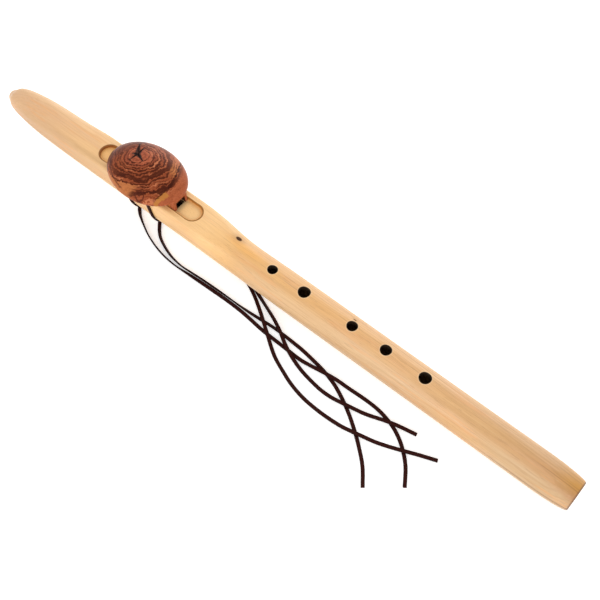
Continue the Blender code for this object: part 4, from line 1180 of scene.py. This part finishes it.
def make_ramp():
    half = WINDWAY_WIDTH / 2
    into_bore = BORE_RADIUS / 2
    edge = NEST_FLOOR - SPLITTING_EDGE
    run = RAMP_LENGTH * (edge - into_bore) / (edge - BORE_RADIUS)
    stretch = (mid(SOUND_HOLE), SOUND_HOLE[1] + run)
    ramp = box("splitting_ramp", stretch, (-half, half), (into_bore, edge))
    edit(ramp)
    pick(ramp, "VERT", lambda v: v.co.x > SOUND_HOLE[1] and v.co.z > BORE_RADIUS)
    move((-run, 0, 0))
    leave_edit()
    return ramp


def make_finger_hole(number, x, diameter):
    """A hole whose eased rim follows the round of the tube."""
    radius = diameter / 2
    tube = eased(SECTIONS, [x])[0][1]
    ease = 0.45
    rows = [(BORE_RADIUS / 2, radius), (tube - 4 * ease, radius)]
    for degrees in (0, 15, 30, 45, 60, 75):
        angle = math.radians(degrees)
        rows.append((tube - ease + ease * math.sin(angle), radius + ease - ease * math.cos(angle)))
    rows.append((tube + 0.05 * ease, radius + 1.05 * ease))
    rows.append((tube + 3.0, radius + 1.1 * ease))
    tool = turned(f"finger_hole_{number}", rows, 72, axis="Z")
    for vertex in tool.data.vertices:
        if vertex.co.z > tube - 5 * ease:
            vertex.co.z += math.sqrt(tube**2 - vertex.co.y**2) - tube
    shift(tool, (x, 0, 0))
    return tool


def make_tube():
    blank = make_tube_blank()
    upper = copy_of(blank, "upper_half")
    lower = copy_of(blank, "lower_half")
    discard(blank)
    glue_line = 0.04
    for half_tube, side in ((upper, 1), (lower, -1)):
        edit(half_tube)
        pick_all()
        bpy.ops.mesh.bisect(
            plane_co=(0, 0, side * glue_line), plane_no=(0, 0, side), use_fill=True,
            clear_inner=True,
        )
        leave_edit()
    bores = make_bore_tools()
    half = WINDWAY_WIDTH / 2
    above = mid((NEST_FLOOR, PLATFORM_HEIGHT))
    flue_stretch = (mid(EXIT_HOLE), mid(SOUND_HOLE))
    into_bore = BORE_RADIUS / 2
    openings = [
        make_slot("nest", NEST, NEST_WIDTH / 2, (NEST_FLOOR, ABOVE_TUBE)),
        box("exit_hole", EXIT_HOLE, (-half, half), (into_bore, above)),
        box("flue", flue_stretch, (-half, half), (NEST_FLOOR - FLUE_DEPTH, above)),
        box("sound_hole", SOUND_HOLE, (-half, half), (into_bore, above)),
        make_ramp(),
    ]
    for number, (x, diameter) in enumerate(FINGER_HOLES, start=1):
        openings.append(make_finger_hole(number, x, diameter))
    for tool in bores:
        work(lower, tool)
    for tool in (*bores, *openings):
        work_and_discard(upper, tool)
    for half_tube in (upper, lower):
        lay_down(half_tube)
        smooth(half_tube, 32)
    upper.data.materials.append(pale_wood("upper_wood", (55.0, -70.0), 3.0))
    lower.data.materials.append(pale_wood("lower_wood", (-60.0, 75.0), 11.0))
    for half_tube, node in ((upper, "body_upper"), (lower, "body_lower")):
        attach(half_tube, "tube")
        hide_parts(node)


make_tube()


# Block

def dome_height(x, y):
    """Height of the dome's surface above the bore's axis, x and y from the dome's middle."""
    rise = math.sqrt(1 - (x / DOME_HALF_LENGTH) ** 2 - (y / DOME_HALF_WIDTH) ** 2)
    return RIM_HEIGHT + DOME_RISE * rise


def make_crack():
    """The star-shaped drying crack: pointed arms that get shallower towards their tips."""
    middle_x, middle_y = STAR_MIDDLE
    full_turn = 2 * math.pi
    arms = sorted(
        (math.atan2(y - middle_y, x - middle_x) % full_turn, x, y, half) for x, y, half in STAR_ARMS
    )
    places = []
    for (angle, x, y, half), (next_angle, _, _, next_half) in zip(arms, arms[1:] + arms[:1]):
        places.append((x, y))
        gap = (next_angle - angle) % full_turn
        between = angle + gap / 2
        valley = (half + next_half) / 2 / math.sin(min(gap, math.pi) / 2)
        way_x, way_y = math.cos(between), math.sin(between)
        places.append((middle_x + valley * way_x, middle_y + valley * way_y))
    deselect_all()
    bpy.ops.mesh.primitive_circle_add(
        vertices=len(places), radius=1.0, fill_type="NGON", location=(0, 0, 0)
    )
    crack = named("star_crack")
    edit(crack)
    for index, (x, y) in enumerate(places):
        start = crack.data.vertices[index].co.copy()
        pick(crack, "VERT", lambda v: v.index == index)
        move((x - start.x, y - start.y, dome_height(x, y) + 0.04 - start.z))
    pick_all()
    extrude((0, 0, 5.0))
    resize((1, 1, 0), (0, 0, CROWN + 3))
    pick(crack, "FACE", lambda f: len(f.verts) == len(places) and place_of(f).z < CROWN)
    bpy.ops.mesh.poke()
    last = len(bmesh.from_edit_mesh(crack.data).verts) - 1
    apex = bmesh.from_edit_mesh(crack.data).verts[:][last].co.copy()
    pick(crack, "VERT", lambda v: v.index == last)
    deepest = dome_height(middle_x, middle_y) - STAR_DEPTH
    move((middle_x - apex.x, middle_y - apex.y, deepest - apex.z))
    pick_all()
    move((BLOCK_CENTRE, 0, 0))
    face_out()
    leave_edit()
    return crack


def make_block():
    rows = [(NECK_BOTTOM, NECK_SHARE)]
    for k in range(19):
        u = k / 18
        share = NECK_SHARE + (1 - NECK_SHARE) * math.sin(math.pi / 2 * u)
        rows.append((NECK_TOP + (RIM_HEIGHT - NECK_TOP) * u, share))
    for k in range(1, 28):
        angle = math.pi / 2 * k / 28
        rows.append((RIM_HEIGHT + DOME_RISE * math.sin(angle), math.cos(angle)))
    block = turned("flute_block", rows, 128, axis="Z")
    edit(block)
    pick(block, "FACE", lambda f: len(f.verts) > 4 and place_of(f).z > RIM_HEIGHT)
    extrude((0, 0, CROWN - rows[-1][0]))
    bpy.ops.mesh.merge(type="CENTER")
    pick_all()
    resize((DOME_HALF_LENGTH, DOME_HALF_WIDTH, 1), (0, 0, 0))
    move((BLOCK_CENTRE, 0, 0))
    face_out()
    leave_edit()

    half = (NEST_WIDTH - 2 * FIT) / 2
    rear, front = BLOCK_FOOT
    foot = make_slot("block_foot", (rear, front + half), half, (BLOCK_BOTTOM, RIM_HEIGHT))
    edit(foot)
    pick(foot, "VERT", lambda v: v.co.x > (rear + front) / 2)
    resize((0, 1, 1), (front, 0, 0))
    pick_all()
    bpy.ops.mesh.dissolve_limited(angle_limit=math.radians(0.5))
    pick(foot, "VERT", lambda v: v.co.x > front - 1 and v.co.z > RIM_HEIGHT - 1)
    move((-BLOCK_FOOT_RAKE, 0, 0))
    pick(foot, "EDGE", lambda e: (
        abs(e.verts[0].co.z - e.verts[1].co.z) > 5 and place_of(e).x > front - 3
    ))
    bpy.ops.mesh.bevel(offset=1.3, segments=5, affect="EDGES")
    pick(foot, "EDGE", lambda e: all(v.co.z < BLOCK_BOTTOM + 0.01 for v in e.verts))
    bpy.ops.mesh.bevel(offset=0.35, segments=3, affect="EDGES")
    leave_edit()
    work_and_discard(block, foot, "UNION")

    half = WINDWAY_WIDTH / 2
    chimney_height = (BLOCK_BOTTOM - 0.6, CHIMNEY_TOP)
    chimney = box("chimney", (SOUND_HOLE[0], front + 2), (-half, half), chimney_height)
    edit(chimney)
    pick(chimney, "EDGE", lambda e: (
        place_of(e).z > CHIMNEY_TOP - 0.1 and abs(place_of(e).x - front) < 6
    ))
    bpy.ops.mesh.bevel(offset=1.2, segments=5, affect="EDGES")
    leave_edit()
    work_and_discard(block, chimney)
    for x in (REAR_LACE, FRONT_LACE):
        rows = [(-DOME_HALF_WIDTH, LACE_HOLE_RADIUS), (DOME_HALF_WIDTH, LACE_HOLE_RADIUS)]
        hole = turned("lace_hole", rows, 32, axis="Y")
        shift(hole, (x, 0, LACE_HOLE_LEVEL))
        work_and_discard(block, hole)
    crack = make_crack()
    work_and_discard(block, crack)
    lay_down(block)
    smooth(block, 40)
    block.data.materials.append(burl_wood("block_burl"))
    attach(block, "block_and_laces")
    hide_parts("block")


make_block()


# Room
WALL_LIGHT = 1.15
CEILING_LIGHT = 0.62


def make_floor():
    deselect_all()
    bpy.ops.mesh.primitive_plane_add(size=6.0, location=(0, 0, -0.0002))
    floor = named("studio_floor")
    paper = Finish("white_paper")
    camera, glossy, through = [
        paper.node("LightPath", out=f"Is {kind} Ray")
        for kind in ("Camera", "Glossy", "Transmission")
    ]
    white = paper.blend(camera + glossy + through, (0.0, 0.0, 0.0), (0.5, 0.5, 0.5))
    paper.set(Base_Color=(0.90, 0.90, 0.90), Roughness=0.9)
    floor.data.materials.append(paper.set(Emission_Color=white, Emission_Strength=1.0))


def make_lamp(name, place, target, size, power):
    data = bpy.data.lights.new(name, "AREA")
    data.shape = "RECTANGLE"
    data.size, data.size_y = size
    data.energy = power
    lamp = bpy.data.objects.new(name, data)
    bpy.context.collection.objects.link(lamp)
    way = Vector(target) - Vector(place)
    turn = way.to_track_quat("-Z", "Y").to_matrix().to_4x4()
    lamp.matrix_world = Matrix.Translation(place) @ turn


def light_room():
    """White walls all round under a dimmer ceiling, and a soft lamp on either side."""
    world = bpy.data.worlds.new("studio")
    bpy.context.scene.world = world
    world.use_nodes = True
    nodes, links = world.node_tree.nodes, world.node_tree.links
    place = nodes.new("ShaderNodeTexCoord")
    parts = nodes.new("ShaderNodeSeparateXYZ")
    links.new(place.outputs["Generated"], parts.inputs[0])
    ramp = nodes.new("ShaderNodeMapRange")
    ramp.interpolation_type = "SMOOTHSTEP"
    for key, value in (
        ("From Min", 0.42), ("From Max", 0.80), ("To Min", WALL_LIGHT), ("To Max", CEILING_LIGHT),
    ):
        ramp.inputs[key].default_value = value
    links.new(parts.outputs["Z"], ramp.inputs["Value"])
    background = nodes["Background"]
    background.inputs["Color"].default_value = (1.0, 1.0, 1.0, 1.0)
    links.new(ramp.outputs["Result"], background.inputs["Strength"])
    make_lamp("softbox_far", (-0.4, 1.7, 0.9), (0, 0, 0), (2.0, 1.0), 12.0)
    make_lamp("softbox_near", (0.5, -1.7, 0.9), (0, 0, 0), (2.0, 1.0), 13.0)


make_floor()
light_room()
bpy.context.scene.view_settings.view_transform = "Standard"
